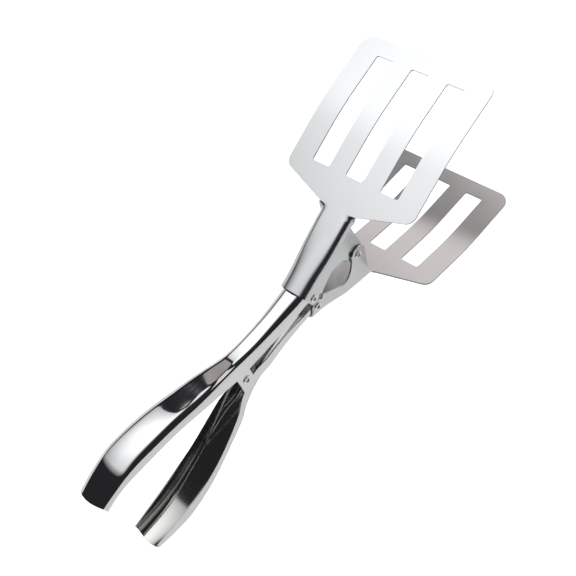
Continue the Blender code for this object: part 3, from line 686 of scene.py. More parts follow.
def hole_tree():
    """Drills one pivot hole across both flanges."""
    inputs = (("Radius", LENGTH), ("Depth", LENGTH), ("Place", PLACE), ("Material", FINISH))
    tree, given, out = geometry_tree("pivot hole", inputs)
    of = given.outputs
    drill = add_node(
        tree,
        "GeometryNodeMeshCylinder",
        {"Vertices": ROUND_STEPS, "Radius": of["Radius"], "Depth": of["Depth"]},
    )
    turned = add_node(
        tree,
        "GeometryNodeTransform",
        {"Geometry": drill, "Translation": of["Place"], "Rotation": (QUARTER, 0.0, 0.0)},
    )
    cut = add_node(
        tree, "GeometryNodeMeshBoolean", {"Mesh 1": of["Geometry"], "Mesh 2": turned}, solver="EXACT"
    )
    end_tree(tree, given, cut, out)
    return tree


def rivet_tree():
    """Sets a rolled eyelet head on each point, facing along the point's own side of the tongs."""
    inputs = (
        ("Ring", LENGTH),
        ("Roll width", LENGTH),
        ("Roll height", LENGTH),
        ("Roll lift", LENGTH),
        ("Eye floor", LENGTH),
        ("Sunk", LENGTH),
        ("Material", FINISH),
    )
    tree, given, out = geometry_tree("rolled rivet heads", inputs)
    of = given.outputs
    ring = add_node(
        tree, "GeometryNodeCurvePrimitiveCircle", {"Resolution": RING_STEPS, "Radius": of["Ring"]}
    )
    roll = add_node(tree, "GeometryNodeCurvePrimitiveCircle", {"Resolution": ROUND_STEPS, "Radius": 1.0})
    size = add_node(tree, "ShaderNodeCombineXYZ", {"X": of["Roll width"], "Y": of["Roll height"], "Z": 1.0})
    section = add_node(tree, "GeometryNodeTransform", {"Geometry": roll, "Scale": size})
    rolled = add_node(tree, "GeometryNodeCurveToMesh", {"Curve": ring, "Profile Curve": section})
    rise = add_node(tree, "ShaderNodeCombineXYZ", {"Z": of["Roll lift"]})
    rim = add_node(tree, "GeometryNodeTransform", {"Geometry": rolled, "Translation": rise})
    depth = add_node(tree, "ShaderNodeMath", {0: of["Eye floor"], 1: of["Sunk"]}, operation="ADD")
    plug = add_node(
        tree, "GeometryNodeMeshCylinder", {"Vertices": RING_STEPS, "Radius": of["Ring"], "Depth": depth}
    )
    half = add_node(tree, "ShaderNodeMath", {0: depth, 1: 0.5}, operation="MULTIPLY")
    level = add_node(tree, "ShaderNodeMath", {0: of["Eye floor"], 1: half}, operation="SUBTRACT")
    lift = add_node(tree, "ShaderNodeCombineXYZ", {"Z": level})
    floor = add_node(tree, "GeometryNodeTransform", {"Geometry": plug, "Translation": lift})
    head = add_node(tree, "GeometryNodeJoinGeometry")
    tree.links.new(rim.outputs[0], head.inputs[0])
    tree.links.new(floor.outputs[0], head.inputs[0])
    stood = add_node(tree, "GeometryNodeTransform", {"Geometry": head, "Rotation": (-QUARTER, 0.0, 0.0)})
    facing = add_node(tree, "GeometryNodeInputNamedAttribute", {"Name": "facing"}, data_type="FLOAT_VECTOR")
    scale = add_node(tree, "GeometryNodeInputNamedAttribute", {"Name": "scale"}, data_type="FLOAT")
    heads = add_node(
        tree,
        "GeometryNodeInstanceOnPoints",
        {"Points": of["Geometry"], "Instance": stood, "Rotation": facing, "Scale": scale},
    )
    end_tree(tree, given, heads, out)
    return tree


# Materials


def node_material(name):
    """A new material, and its node tree."""
    material = bpy.data.materials.new(name)
    material.use_nodes = True
    return material, material.node_tree


def metal(name, tint, roughness, spread, grain, grain_scale, grain_depth, waviness=0.0):
    """A bare metal with a grain along the sheet and slight changes of gloss.

    The roughness varies by the spread to either side. grain stretches the pattern on each axis, grain_scale
    is the number of lines in a metre where it isn't stretched, and grain_depth their height. waviness is
    the height of the slow swell that pressing leaves.
    """
    material, tree = node_material(name)
    shader = tree.nodes["Principled BSDF"]
    shader.inputs["Metallic"].default_value = 1.0
    place = add_node(tree, "ShaderNodeTexCoord").outputs["Object"]
    drawn = add_node(tree, "ShaderNodeMapping", {"Vector": place, "Scale": grain})
    lines = add_node(
        tree, "ShaderNodeTexNoise", {"Vector": drawn, "Scale": grain_scale, "Detail": LINE_DETAIL}
    )
    patches = add_node(
        tree, "ShaderNodeTexNoise", {"Vector": place, "Scale": PATCH_SCALE, "Detail": PATCH_DETAIL}
    )
    both = add_node(tree, "ShaderNodeMath", {0: lines, 1: patches}, operation="MULTIPLY")
    gloss = add_node(
        tree,
        "ShaderNodeMapRange",
        {
            "Value": both,
            "From Min": GLOSS_FROM,
            "From Max": GLOSS_TO,
            "To Min": roughness - spread,
            "To Max": roughness + spread,
        },
    )
    tree.links.new(gloss.outputs[0], shader.inputs["Roughness"])
    shade = add_node(
        tree, "ShaderNodeMapRange", {"Value": patches, "To Min": DARK_TINT, "To Max": LIGHT_TINT}
    )
    tinted = add_node(tree, "ShaderNodeVectorMath", {0: tint[:3], "Scale": shade}, operation="SCALE")
    tree.links.new(tinted.outputs[0], shader.inputs["Base Color"])
    bump = add_node(tree, "ShaderNodeBump", {"Height": lines, "Distance": grain_depth, "Strength": 1.0})
    if waviness:
        swell = add_node(
            tree, "ShaderNodeTexNoise", {"Vector": place, "Scale": SWELL_SCALE, "Detail": SWELL_DETAIL}
        )
        bump = add_node(
            tree, "ShaderNodeBump", {"Height": swell, "Distance": waviness, "Strength": 1.0, "Normal": bump}
        )
    tree.links.new(bump.outputs[0], shader.inputs["Normal"])
    return material


def polished_steel(looks):
    """Stainless sheet, pressed and then buffed: a mirror that still swells a little where it was bent.

    Buffing lines are far finer than the render shows; these are drawn about 1 mm apart across the sheet.
    """
    return metal(
        "polished stainless steel",
        looks.polished,
        roughness=0.05,
        spread=0.02,
        grain=(0.06, 1.0, 0.3),
        grain_scale=900.0,
        grain_depth=0.0002 * MM,
        waviness=0.006 * MM,
    )


def mill_steel(looks):
    """The handles' insides, left as the sheet came from the mill: it mirrors too, but with a soft haze.

    The rollers' streaks change its gloss alone, and are drawn about 3 mm apart, so that they show.
    """
    return metal(
        "mill finish stainless steel",
        looks.mill,
        roughness=0.14,
        spread=0.02,
        grain=(0.06, 1.0, 0.3),
        grain_scale=300.0,
        grain_depth=0.0,
    )


def satin_steel(looks):
    """Stainless sheet with a brushed face: fine lines along the blade, which blur what it reflects.

    Real lines are about 0.1 mm apart; these are drawn about 0.4 mm apart, so that a few still show.
    """
    return metal(
        "brushed stainless steel",
        looks.satin,
        roughness=0.21,
        spread=0.015,
        grain=(0.04, 1.0, 0.04),
        grain_scale=2500.0,
        grain_depth=0.0002 * MM,
    )


def sheared_steel(looks):
    """The cut edges of the blades: the punch leaves them duller and darker than the face.

    Its tear marks are drawn about 0.8 mm apart, coarser than real ones, so that a few show.
    """
    return metal(
        "sheared steel edge",
        looks.sheared,
        roughness=0.34,
        spread=0.04,
        grain=(1.0, 1.0, 0.2),
        grain_scale=1200.0,
        grain_depth=0.001 * MM,
    )


def turned_steel(looks):
    """Rivet steel, rolled over on a tool that leaves it bright with dull streaks about 0.6 mm apart."""
    return metal(
        "rolled rivet steel",
        looks.turned,
        roughness=0.11,
        spread=0.04,
        grain=(1.0, 0.3, 1.0),
        grain_scale=1800.0,
        grain_depth=0.001 * MM,
    )


def drawn_wire(looks):
    """Spring wire, drawn bright, with faint flecks from the die about 0.7 mm apart."""
    return metal(
        "drawn spring wire",
        looks.wire,
        roughness=0.16,
        spread=0.05,
        grain=(1.0, 1.0, 1.0),
        grain_scale=1500.0,
        grain_depth=0.002 * MM,
    )


# Handles


def handle_profile(sizes):
    """Places along the handles, and their section at x: web top, half width, bend radius, edge, crown."""
    front_length = LINK_PIVOT_X + HANDLE_FRONT_RUN - HANDLE_PIVOT_X
    front_half = NECK_REAR_HALF - bpy.context.scene.tongs.head.sheet - CLEARANCE
    waist = (WAIST_HEIGHT, WAIST_HALF, WAIST_BEND, WAIST_EDGE, WAIST_BEND, WAIST_EDGE)
    lower_grip = (sizes.lower_bend, LOWER_GRIP_EDGE)
    upper_grip = (sizes.upper_bend, UPPER_GRIP_EDGE)
    grip = (sizes.height, sizes.half, *lower_grip, *upper_grip)
    front_height = LINK_PIVOT_Z + HANDLE_FRONT_RISE
    front = (front_height, front_half, FRONT_BEND, FRONT_EDGE, FRONT_BEND, FRONT_EDGE)
    rows = [(HANDLE_PIVOT_X, *waist)]
    for run, table, ends in ((-sizes.rear, REAR_SHARES, grip), (front_length, FRONT_SHARES, front)):
        for place, *shares in table:
            between = [a + (b - a) * share for a, b, share in zip(waist, ends, shares)]
            rows.append((HANDLE_PIVOT_X + run * place, *between))
    xs, *columns = zip(*sorted(rows))
    lines = [Spline(xs, column) for column in columns]

    def section(x, side):
        """The upper or the lower handle's sizes at x, with the bend down and the narrowing at its end."""
        top, half, *bends_and_edges = (line(x) for line in lines)
        bend, edge = bends_and_edges[2:] if side == UPPER else bends_and_edges[:2]
        top -= END_DROP * end_share(xs[0], x)
        half -= END_NARROWING * end_share(xs[0], x)
        crown = sizes.upper_crown if side == UPPER else sizes.lower_crown
        crown *= smoothstep(-x, -CROWN_START_X, -CROWN_START_X + CROWN_RUN)
        return top, half, min(bend, half * BEND_LIMIT_SHARE), edge, crown

    return xs, section


def end_share(rear, x):
    """Nothing along the grip, rising to one at the rear end, in the curve in which the end bends down."""
    return min(max((rear + END_RUN - x) / END_RUN, 0.0), 1.0) ** 2


def nesting_at(x, side, sheet):
    """How much narrower the lower shell is to each side near the handle pivot, where the two nest."""
    if side == UPPER:
        return 0.0
    away = abs(x - HANDLE_PIVOT_X)
    return (sheet + SLIDING_GAP) * (1.0 - smoothstep(away, NEST_REACH, NEST_REACH + NEST_BLEND))


def below_lobe(x, edge, centre, height, radius):
    """The flange edge with a round lobe of this centre and radius hanging below it."""
    reach = abs(x - centre)
    if reach > radius + HAIR:
        return edge
    return min(edge, height - math.sqrt(max(radius * radius - reach * reach, 0.0)))


def round_stations(centre, radius):
    """Places along a round form, closest at its two ends, where its outline is steep."""
    return [centre - radius * math.cos(math.pi * i / ROUND_STEPS) for i in range(ROUND_STEPS + 1)]


def handle_rows(sizes, side):
    """The upper or the lower shell's outer face as rows of points, from rear to front."""
    xs, section = handle_profile(sizes)
    stations = set(even_steps(xs[0], xs[-1]))
    for centre, radius in ((HANDLE_PIVOT_X, PIVOT_LOBE_RADIUS), (LINK_PIVOT_X, HANDLE_LINK_LOBE_RADIUS)):
        lobe = [x for x in round_stations(centre, radius) if x < xs[-1]]
        stations = {x for x in stations if not lobe[0] <= x <= lobe[-1]} | set(lobe)
    stations.add(xs[-1])
    rows = []
    for x in apart(stations):
        top, half, bend, edge, crown = section(x, side)
        half -= nesting_at(x, side, sizes.sheet)
        edge = below_lobe(x, edge, HANDLE_PIVOT_X, 0.0, PIVOT_LOBE_RADIUS)
        edge = below_lobe(x, edge, LINK_PIVOT_X, LINK_PIVOT_Z, HANDLE_LINK_LOBE_RADIUS)
        bend = min(bend, top - crown - FADE_LIP - edge)
        bow = END_BOW * end_share(xs[0], x)

        def place(y, down, x=x, top=top, half=half, bow=bow):
            """A point of the row, which bows rearwards in its middle at the handle's end."""
            return x - bow * (1.0 - (y / half) ** 2), y, side * (top - down)

        rows.append(whole_row(crowned_half(half, bend, top - edge, crown), place))
    return rows


class TONGS_OT_handles(bpy.types.Operator):
    """Presses the two polished handle shells"""

    bl_idname = "tongs.handles"
    bl_label = "Handles"

    def execute(self, context):
        tongs = context.scene.tongs
        sizes = tongs.handle
        steel = polished_steel(tongs.looks)
        inside = mill_steel(tongs.looks)
        drill = hole_tree()
        for side, name in ((UPPER, "upper"), (LOWER, "lower")):
            rows = handle_rows(sizes, side)
            shell = sheet_from_rows(f"handle_{name}_shell", rows, sizes.sheet, side)
            for place, shank in (
                ((HANDLE_PIVOT_X, 0.0, 0.0), tongs.rivet.main_shank),
                ((LINK_PIVOT_X, 0.0, side * LINK_PIVOT_Z), tongs.rivet.shank),
            ):
                radius = shank + CLEARANCE
                hole = {"Radius": radius, "Depth": DRILL_DEPTH, "Place": place, "Material": steel}
                use_tree(shell, drill, hole)
            round_edges(shell, sizes.edge_round)
            settle(shell, steel, TO_ROW, inside, looks_inwards)
            hand_over(shell, f"{name}_handle", "polished_steel", f"handle_{name}")
        return {"FINISHED"}


# Heads


class HeadPlaces:
    """Places along a head's own axis, from the head pivot, as they follow from its sizes."""

    def __init__(self, sizes):
        self.sizes = sizes
        turn = Matrix.Rotation(-sizes.opening, 2)
        self.link_u, self.link_w = turn @ Vector((LINK_PIVOT_X, LINK_PIVOT_Z))
        self.rear = self.link_u - NECK_REAR_RUN
        self.rear_height = self.link_w + NECK_REAR_RISE
        self.taper = self.link_u + TAPER_RUN
        self.window_rear = self.link_u + WINDOW_REAR_RUN
        self.window_front = -EAR_RADIUS - WINDOW_FRONT_RUN
        self.ear_plane = -EAR_RADIUS - EAR_FLAT_RUN
        self.flange_front = EAR_RADIUS + FLANGE_FRONT_RUN
        self.joint = self.flange_front + FADE_RUN
        self.corner = self.joint + SHOULDER_RUN
        self.tip = self.corner + sizes.blade
        self.bend = self.corner + BLADE_BEND_PLACE
        self.neck_half = JOINT_FLAT_HALF + NECK_FRONT_BEND * QUARTER
        self.shoulder_turn = math.atan((sizes.width / 2.0 - self.neck_half) / SHOULDER_RUN)
        self.corner_end = self.corner + sizes.base_corner * math.tan(self.shoulder_turn / 2.0)

    def height(self, u):
        """Height of the head's outer face above the head pivot."""
        offset = self.sizes.offset
        if u < self.joint:
            share = (u - self.rear) / (self.joint - self.rear)
            return self.rear_height + (offset - self.rear_height) * share
        start = self.bend - BLADE_BEND_RUN / 2.0
        fall = math.tan(self.sizes.bend)
        rise = fall * (self.tip - self.bend) / (self.tip - self.joint)
        height = offset + rise * (u - self.joint)
        if u <= start:
            return height
        if u >= start + BLADE_BEND_RUN:
            return height - fall * (u - self.bend)
        return height - fall * (u - start) ** 2 / (2.0 * BLADE_BEND_RUN)

    def half_width(self, u):
        """Half width of the blade's outline, with its sloping shoulders and rounded corners."""
        sizes = self.sizes
        half = sizes.width / 2.0
        if u > self.tip - sizes.tip_corner:
            reach = u - (self.tip - sizes.tip_corner)
            return half - sizes.tip_corner + math.sqrt(max(sizes.tip_corner**2 - reach**2, 0.0))
        if u >= self.corner_end:
            return half
        if u >= self.corner_end - sizes.base_corner * math.sin(self.shoulder_turn):
            reach = self.corner_end - u
            return half - sizes.base_corner + math.sqrt(sizes.base_corner**2 - reach**2)
        return half - math.tan(self.shoulder_turn) * (self.corner - u)

    def flange_edge(self, u):
        """Height of the neck flange's free edge: link lobe, window, ear and front edge."""
        lobe_end = self.link_u + LINK_LOBE_RADIUS * LOBE_BLEND_SHARE
        if u <= lobe_end:
            reach = min(abs(u - self.link_u), LINK_LOBE_RADIUS)
            return self.link_w - math.sqrt(LINK_LOBE_RADIUS**2 - reach**2)
        if u <= self.window_rear:
            start_w = self.link_w - LINK_LOBE_RADIUS * math.sqrt(1.0 - LOBE_BLEND_SHARE**2)
            return blend(u, lobe_end, self.window_rear, start_w, WINDOW_REAR_W)
        if u <= self.window_front:
            share = (u - self.window_rear) / (self.window_front - self.window_rear)
            return WINDOW_REAR_W + (WINDOW_FRONT_W - WINDOW_REAR_W) * math.sin(QUARTER * share)
        if u < -EAR_RADIUS:
            share = (u - self.window_front) / (-EAR_RADIUS - self.window_front)
            return WINDOW_FRONT_W * math.sqrt(max(1.0 - share**2, 0.0))
        if u <= EAR_RADIUS:
            return -math.sqrt(max(EAR_RADIUS**2 - u * u, 0.0))
        share = (u - EAR_RADIUS) / FLANGE_FRONT_RUN
        return (self.height(u) - NECK_FRONT_BEND) * min(share, 1.0)

    def stations(self):
        """Places of the rows, closer where the outline, the flange edge or the bend changes fast."""
        quarter_turns = [QUARTER * i / ROUND_STEPS for i in range(ROUND_STEPS + 1)]
        found = set(even_steps(self.rear, self.joint, NECK_STEP))
        found.update((self.window_rear, self.window_front, self.ear_plane, self.flange_front))
        found.update(x for x in round_stations(self.link_u, LINK_LOBE_RADIUS) if x > self.rear)
        found.update(self.window_front + WINDOW_FRONT_RUN * math.sin(turn) for turn in quarter_turns)
        found.update(round_stations(0.0, EAR_RADIUS))
        found.update(even_steps(EAR_RADIUS, self.flange_front, FADE_STEP))
        found.update(even_steps(self.flange_front, self.joint, FADE_STEP))
        shoulder = [self.shoulder_turn * i / ROUND_STEPS for i in range(ROUND_STEPS + 1)]
        found.update(self.corner_end - self.sizes.base_corner * math.sin(turn) for turn in shoulder)
        start = self.bend - BLADE_BEND_RUN / 2.0
        found.update(even_steps(start, start + BLADE_BEND_RUN))
        tip = self.tip - self.sizes.tip_corner
        found.update(tip + self.sizes.tip_corner * math.sin(turn) for turn in quarter_turns)
        return apart(found)

    def section(self, u, ear_half):
        """Half of the head's section: a channel on the neck that opens out flat into the blade."""
        if u <= self.flange_front:
            outer = blend(u, self.taper, self.ear_plane, NECK_REAR_HALF, ear_half)
            bend = blend(u, self.rear, self.flange_front, NECK_REAR_BEND, NECK_FRONT_BEND)
            crown = NECK_CROWN * (1.0 - smoothstep(u, self.taper, self.flange_front))
            return crowned_half(outer, bend, self.height(u) - self.flange_edge(u), crown)
        open_share = smoothstep(u, self.flange_front, self.joint)
        flat = blend(u, self.flange_front, self.joint, ear_half - NECK_FRONT_BEND, JOINT_FLAT_HALF)
        lip = FADE_LIP
        if u >= self.joint:
            lip = max(self.half_width(u) - flat - NECK_FRONT_BEND * QUARTER, FADE_LIP)
        return folded_half(flat, NECK_FRONT_BEND, max(QUARTER * (1.0 - open_share), FLAT_ANGLE), lip)

    def is_sheared(self, face):
        """Whether a face is part of the blade's cut edge, which lies across the sheet."""
        return face.center.x > self.joint and abs(face.normal.z) < CUT_EDGE_RISE

    def to_row(self, side):
        """The matrix that puts the head on its link pivot, turned by the opening, in the row's frame."""
        link = Vector((LINK_PIVOT_X, 0.0, side * LINK_PIVOT_Z))
        own = Vector((self.link_u, 0.0, side * self.link_w))
        turn = Matrix.Rotation(-side * self.sizes.opening, 4, "Y")
        return TO_ROW @ Matrix.Translation(link) @ turn @ Matrix.Translation(-own)


def head_rows(places, side, ear_half):
    """The upper or the lower head's outer face as rows of points, from the link pivot to the tip."""
    rows = []
    for u in places.stations():
        top = places.height(u)
        section = places.section(u, ear_half)
        rows.append(whole_row(section, lambda v, down, u=u, top=top: (u, v, side * (top - down))))
    return rows


class TONGS_OT_heads(bpy.types.Operator):
    """Presses and punches the two brushed heads, each a neck channel and a slotted blade"""

    bl_idname = "tongs.heads"
    bl_label = "Heads"

    def execute(self, context):
        tongs = context.scene.tongs
        sizes = tongs.head
        steel, edge_steel = satin_steel(tongs.looks), sheared_steel(tongs.looks)
        places = HeadPlaces(sizes)
        drill, punch = hole_tree(), slot_tree()
        slot_start = places.corner + SLOT_BASE_MARGIN
        slot_end = places.tip - SLOT_TIP_MARGIN
        lower_ear = UPPER_EAR_HALF + sizes.sheet + SLIDING_GAP
        for side, name, ear_half, play in (
            (UPPER, "upper", UPPER_EAR_HALF, tongs.rivet.play),
            (LOWER, "lower", lower_ear, 0.0),
        ):
            rows = head_rows(places, side, ear_half)
            head = sheet_from_rows(f"spatula_{name}_sheet", rows, sizes.sheet, side)
            slots = {
                "Slots": sizes.slots,
                "Length": slot_end - slot_start,
                "Width": sizes.slot_width,
                "Corner": sizes.slot_corner,
                "Pitch": sizes.slot_pitch,
                "Depth": PUNCH_DEPTH,
                "Middle": ((slot_start + slot_end) / 2.0, 0.0, side * sizes.offset),
                "Material": steel,
            }
            use_tree(head, punch, slots)
            radius = tongs.rivet.shank + CLEARANCE
            hole = {"Depth": DRILL_DEPTH, "Material": steel}
            link = {"Radius": radius, "Place": (places.link_u, 0.0, side * places.link_w)}
            use_tree(head, drill, {**hole, **link})
            ear = {"Radius": radius + play, "Place": (0.0, 0.0, 0.0)}
            use_tree(head, drill, {**hole, **ear})
            round_edges(head, sizes.edge_round)
            settle(head, steel, places.to_row(side), edge_steel, places.is_sheared)
            hand_over(head, f"{name}_spatula", "satin_steel", f"spatula_{name}")
        return {"FINISHED"}


# Rivets


def rivet_points(name, heads):
    """A mesh of one point for each head, with the way it faces and its scale."""
    data = bpy.data.meshes.new(name)
    data.from_pydata([place for place, _, _ in heads], [], [])
    data.attributes.new("facing", "FLOAT_VECTOR", "POINT")
    data.attributes.new("scale", "FLOAT", "POINT")
    for index, (_, out, size) in enumerate(heads):
        data.attributes["facing"].data[index].vector = (0.0, 0.0, 0.0 if out > 0 else math.pi)
        data.attributes["scale"].data[index].value = size
    return new_object(name, data)


def shank(name, centre, low, high, radius):
    """A closed cylinder along y between two heads."""
    mesh = bmesh.new()
    bmesh.ops.create_cone(
        mesh, cap_ends=True, segments=RING_STEPS, radius1=radius, radius2=radius, depth=high - low
    )
    turn = Matrix.Rotation(QUARTER, 4, "X")
    middle = Matrix.Translation(centre + Vector((0.0, (low + high) / 2.0, 0.0)))
    bmesh.ops.transform(mesh, matrix=middle @ turn, verts=mesh.verts)
    data = bpy.data.meshes.new(name)
    mesh.to_mesh(data)
    mesh.free()
    return data


def add_meshes(obj, datas):
    """Adds plain meshes to an object's own."""
    mesh = bmesh.new()
    for data in (obj.data, *datas):
        mesh.from_mesh(data)
    mesh.to_mesh(obj.data)
    mesh.free()


class TONGS_OT_rivets(bpy.types.Operator):
    """Rolls the heads of the handle rivet, the link rivets and the head rivets"""

    bl_idname = "tongs.rivets"
    bl_label = "Rivets"

    def execute(self, context):
        tongs = context.scene.tongs
        sizes = tongs.rivet
        steel = turned_steel(tongs.looks)
        tree = rivet_tree()
        _, section = handle_profile(tongs.handle)
        pivot = Vector((HANDLE_PIVOT_X, 0.0, 0.0))
        _, handle_outer, *_ = section(HANDLE_PIVOT_X, UPPER)
        _, link_outer, *_ = section(LINK_PIVOT_X, UPPER)
        link_inner = link_outer - tongs.handle.sheet
        head_inner = UPPER_EAR_HALF - tongs.head.sheet
        head_outer = UPPER_EAR_HALF + tongs.head.sheet + SLIDING_GAP
        upper_link = Vector((LINK_PIVOT_X, 0.0, LINK_PIVOT_Z))
        lower_link = Vector((LINK_PIVOT_X, 0.0, -LINK_PIVOT_Z))
        links = ((-NECK_REAR_HALF, -link_inner), (link_inner, NECK_REAR_HALF))
        ears = ((-head_outer, -head_inner), (head_inner, head_outer))
        main = (pivot, ((-handle_outer, handle_outer),), sizes.main_shank, sizes.main_scale)
        for name, body, groups, nodes in (
            (
                "rivets_of_lower_handle",
                "lower_handle",
                (main, (lower_link, links, sizes.shank, 1.0)),
                ("handle_rivet", "lower_link_rivet_left", "lower_link_rivet_right"),
            ),
            (
                "rivets_of_upper_handle",
                "upper_handle",
                ((upper_link, links, sizes.shank, 1.0),),
                ("upper_link_rivet_left", "upper_link_rivet_right"),
            ),
            (
                "rivets_of_heads",
                "lower_spatula",
                ((Vector((0.0, 0.0, 0.0)), ears, sizes.shank, 1.0),),
                ("head_rivet_left", "head_rivet_right"),
            ),
        ):
            heads, shanks = [], []
            for centre, spans, radius, scale in groups:
                for low, high in spans:
                    heads.append((centre + Vector((0.0, low, 0.0)), -1, scale))
                    heads.append((centre + Vector((0.0, high, 0.0)), 1, scale))
                    shanks.append(shank(name, centre, low, high, radius))
            piece = rivet_points(name, heads)
            values = {
                "Ring": sizes.ring,
                "Roll width": sizes.roll_width,
                "Roll height": sizes.roll_height,
                "Roll lift": sizes.roll_lift,
                "Eye floor": sizes.eye_floor,
                "Sunk": SLIDING_GAP,
                "Material": steel,
            }
            use_tree(piece, tree, values)
            settle(piece, steel, Matrix.Identity(4))
            add_meshes(piece, shanks)
            piece.data.transform(TO_ROW)
            piece.data.shade_smooth()
            piece.data.set_sharp_from_angle(angle=RIVET_SHARP_ANGLE)
            hand_over(piece, body, "rivet_steel", *nodes)
        return {"FINISHED"}


# Spring


def spring_line(sizes, handle):
    """The wire's middle line: lower leg, coil and upper leg, and half of the coil's width."""
    knee_angle = math.pi + math.atan2(SPRING_KNEE_Z, SPRING_KNEE_RUN)
    start = knee_angle + math.acos(sizes.coil / math.hypot(SPRING_KNEE_RUN, SPRING_KNEE_Z))
    end = FULL_TURN * (SPRING_WHOLE_TURNS + 1) - start
    curls = (end - start) / FULL_TURN
    half_width = sizes.pitch * curls / 2.0
    steps = round(curls * CURL_POINTS)
    coil = []
    for step in range(steps + 1):
        share = step / steps
        turn = start + (end - start) * share
        x = HANDLE_PIVOT_X + sizes.coil * math.cos(turn)
        coil.append(Vector((x, half_width * (1.0 - 2.0 * share), sizes.coil * math.sin(turn))))
    legs = []
    for side, root in ((LOWER, coil[0]), (UPPER, coil[-1])):
        knee = Vector((HANDLE_PIVOT_X - SPRING_KNEE_RUN, root.y, side * SPRING_KNEE_Z))
        legs.append(leg_points(root, knee, spring_foot(sizes, handle, side)))
    return legs[0][::-1] + coil + legs[1], half_width


def spring_foot(sizes, handle, side):
    """Where a leg ends: in the crease of its handle, just clear of the sheet."""
    foot_x = HANDLE_PIVOT_X - SPRING_FOOT_RUN
    _, section = handle_profile(handle)
    top, half, bend, _, crown = section(foot_x, side)
    nest = bend - handle.sheet - CLEARANCE - sizes.wire
    foot_y = half - bend + nest * math.sin(SPRING_FOOT_ANGLE)
    foot_z = top - crown - bend + nest * math.cos(SPRING_FOOT_ANGLE)
    return Vector((foot_x, -side * foot_y, side * foot_z))


def leg_points(root, knee, foot):
    """A leg that runs straight from the coil, turns softly at its knee and goes on straight."""
    before, after = root.lerp(knee, KNEE_START_SHARE), knee.lerp(foot, KNEE_END_SHARE)
    points = [root.lerp(before, i / ROOT_POINTS) for i in range(1, ROOT_POINTS + 1)]
    for i in range(1, KNEE_POINTS + 1):
        share = i / KNEE_POINTS
        rest = 1 - share
        points.append(before * rest**2 + knee * 2 * share * rest + after * share**2)
    return points + [after.lerp(foot, i / LEG_POINTS) for i in range(1, LEG_POINTS + 1)]


class TONGS_OT_spring(bpy.types.Operator):
    """Winds the return spring round the handle rivet"""

    bl_idname = "tongs.spring"
    bl_label = "Return spring"

    def execute(self, context):
        tongs = context.scene.tongs
        points, half_width = spring_line(tongs.spring, tongs.handle)
        curve = bpy.data.curves.new("return_spring_wire", "CURVE")
        curve.dimensions = "3D"
        curve.bevel_depth = tongs.spring.wire
        curve.bevel_resolution = WIRE_RESOLUTION
        curve.use_fill_caps = True
        line = curve.splines.new("POLY")
        line.points.add(len(points) - 1)
        for point, place in zip(line.points, points):
            point.co = (*place, 1.0)
        guide = new_object("return_spring_guide", curve)
        data = evaluated_mesh(guide)
        bpy.data.objects.remove(guide)
        close_seams(data)
        data.transform(TO_ROW)
        data.materials.clear()
        data.materials.append(drawn_wire(tongs.looks))
        data.shade_smooth()
        data.set_sharp_from_angle(angle=WIRE_SHARP_ANGLE)
        wire = new_object("return_spring_wire", data)
        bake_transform(wire)
        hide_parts("return_spring")
        return {"FINISHED"}


# Stage


def floor_paint(looks, lift):
    """Matt white studio paint, rolled on: nearly even, with a faint roller stipple."""
    material, tree = node_material("matt studio paint")
    shader = tree.nodes["Principled BSDF"]
    shader.inputs["Base Color"].default_value = looks.floor
    shader.inputs["Roughness"].default_value = FLOOR_ROUGHNESS
    shader.inputs["Specular IOR Level"].default_value = 0.0
    seen = add_node(tree, "ShaderNodeLightPath").outputs["Is Camera Ray"]
    added = add_node(tree, "ShaderNodeMath", {0: seen, 1: lift}, operation="MULTIPLY")
    shader.inputs["Emission Color"].default_value = looks.floor
    tree.links.new(added.outputs[0], shader.inputs["Emission Strength"])
    stipple = add_node(tree, "ShaderNodeTexNoise", {"Scale": STIPPLE_SCALE})
    bump = add_node(tree, "ShaderNodeBump", {"Height": stipple, "Distance": STIPPLE_DEPTH})
    tree.links.new(bump.outputs[0], shader.inputs["Normal"])
    return material


def studio_world(looks):
    """Dark cloth all round, which the steel mirrors; the camera itself sees a pale background."""
    world = bpy.data.worlds.new("studio")
    bpy.context.scene.world = world
    world.use_nodes = True
    tree = world.node_tree
    seen = add_node(tree, "ShaderNodeLightPath").outputs["Is Camera Ray"]
    shown = add_node(
        tree,
        "ShaderNodeMix",
        {"Factor": seen, MIX_FIRST: looks.surround, MIX_SECOND: looks.floor},
        data_type="RGBA",
    )
    tree.links.new(shown.outputs[MIX_RESULT], tree.nodes["Background"].inputs["Color"])


def lit_surface(name, paint, glow, ramps):
    """A surface that shows its light to the steel. Each ramp gives the share of the glow along a line.

    A ramp is a direction, the distances along it where it starts and ends, and its shares.
    """
    material, tree = node_material(name)
    place = add_node(tree, "ShaderNodeTexCoord").outputs["Object"]
    for direction, low, high, shares in ramps:
        value = add_node(tree, "ShaderNodeVectorMath", {0: place, 1: direction}, operation="DOT_PRODUCT")
        part = add_node(
            tree, "ShaderNodeMapRange", {"Value": value.outputs["Value"], "From Min": low, "From Max": high}
        )
        ramp = add_node(tree, "ShaderNodeValToRGB", {"Fac": part})
        stops = ramp.color_ramp.elements
        while len(stops) < len(shares):
            stops.new(1.0)
        for stop, (where, share) in zip(stops, shares):
            stop.position = where
            stop.color = (share, share, share, 1.0)
        glow = add_node(tree, "ShaderNodeMath", {0: glow, 1: ramp}, operation="MULTIPLY")
    shine = add_node(tree, "ShaderNodeEmission", {"Color": paint, "Strength": glow})
    tree.links.new(shine.outputs[0], tree.nodes["Material Output"].inputs["Surface"])
    return material


def beige_card(sizes, looks):
    """Beige board that glows though no lamp lights it: painted light from the floor up as far as a painted
    slanting shade.
    """
    ramps = [((0.0, sizes.card_shade_slant, 1.0), 0.0, sizes.card_shade_run, CARD_SHARES)]
    return lit_surface("beige card glow with painted shade", looks.warm, 1.0, ramps)


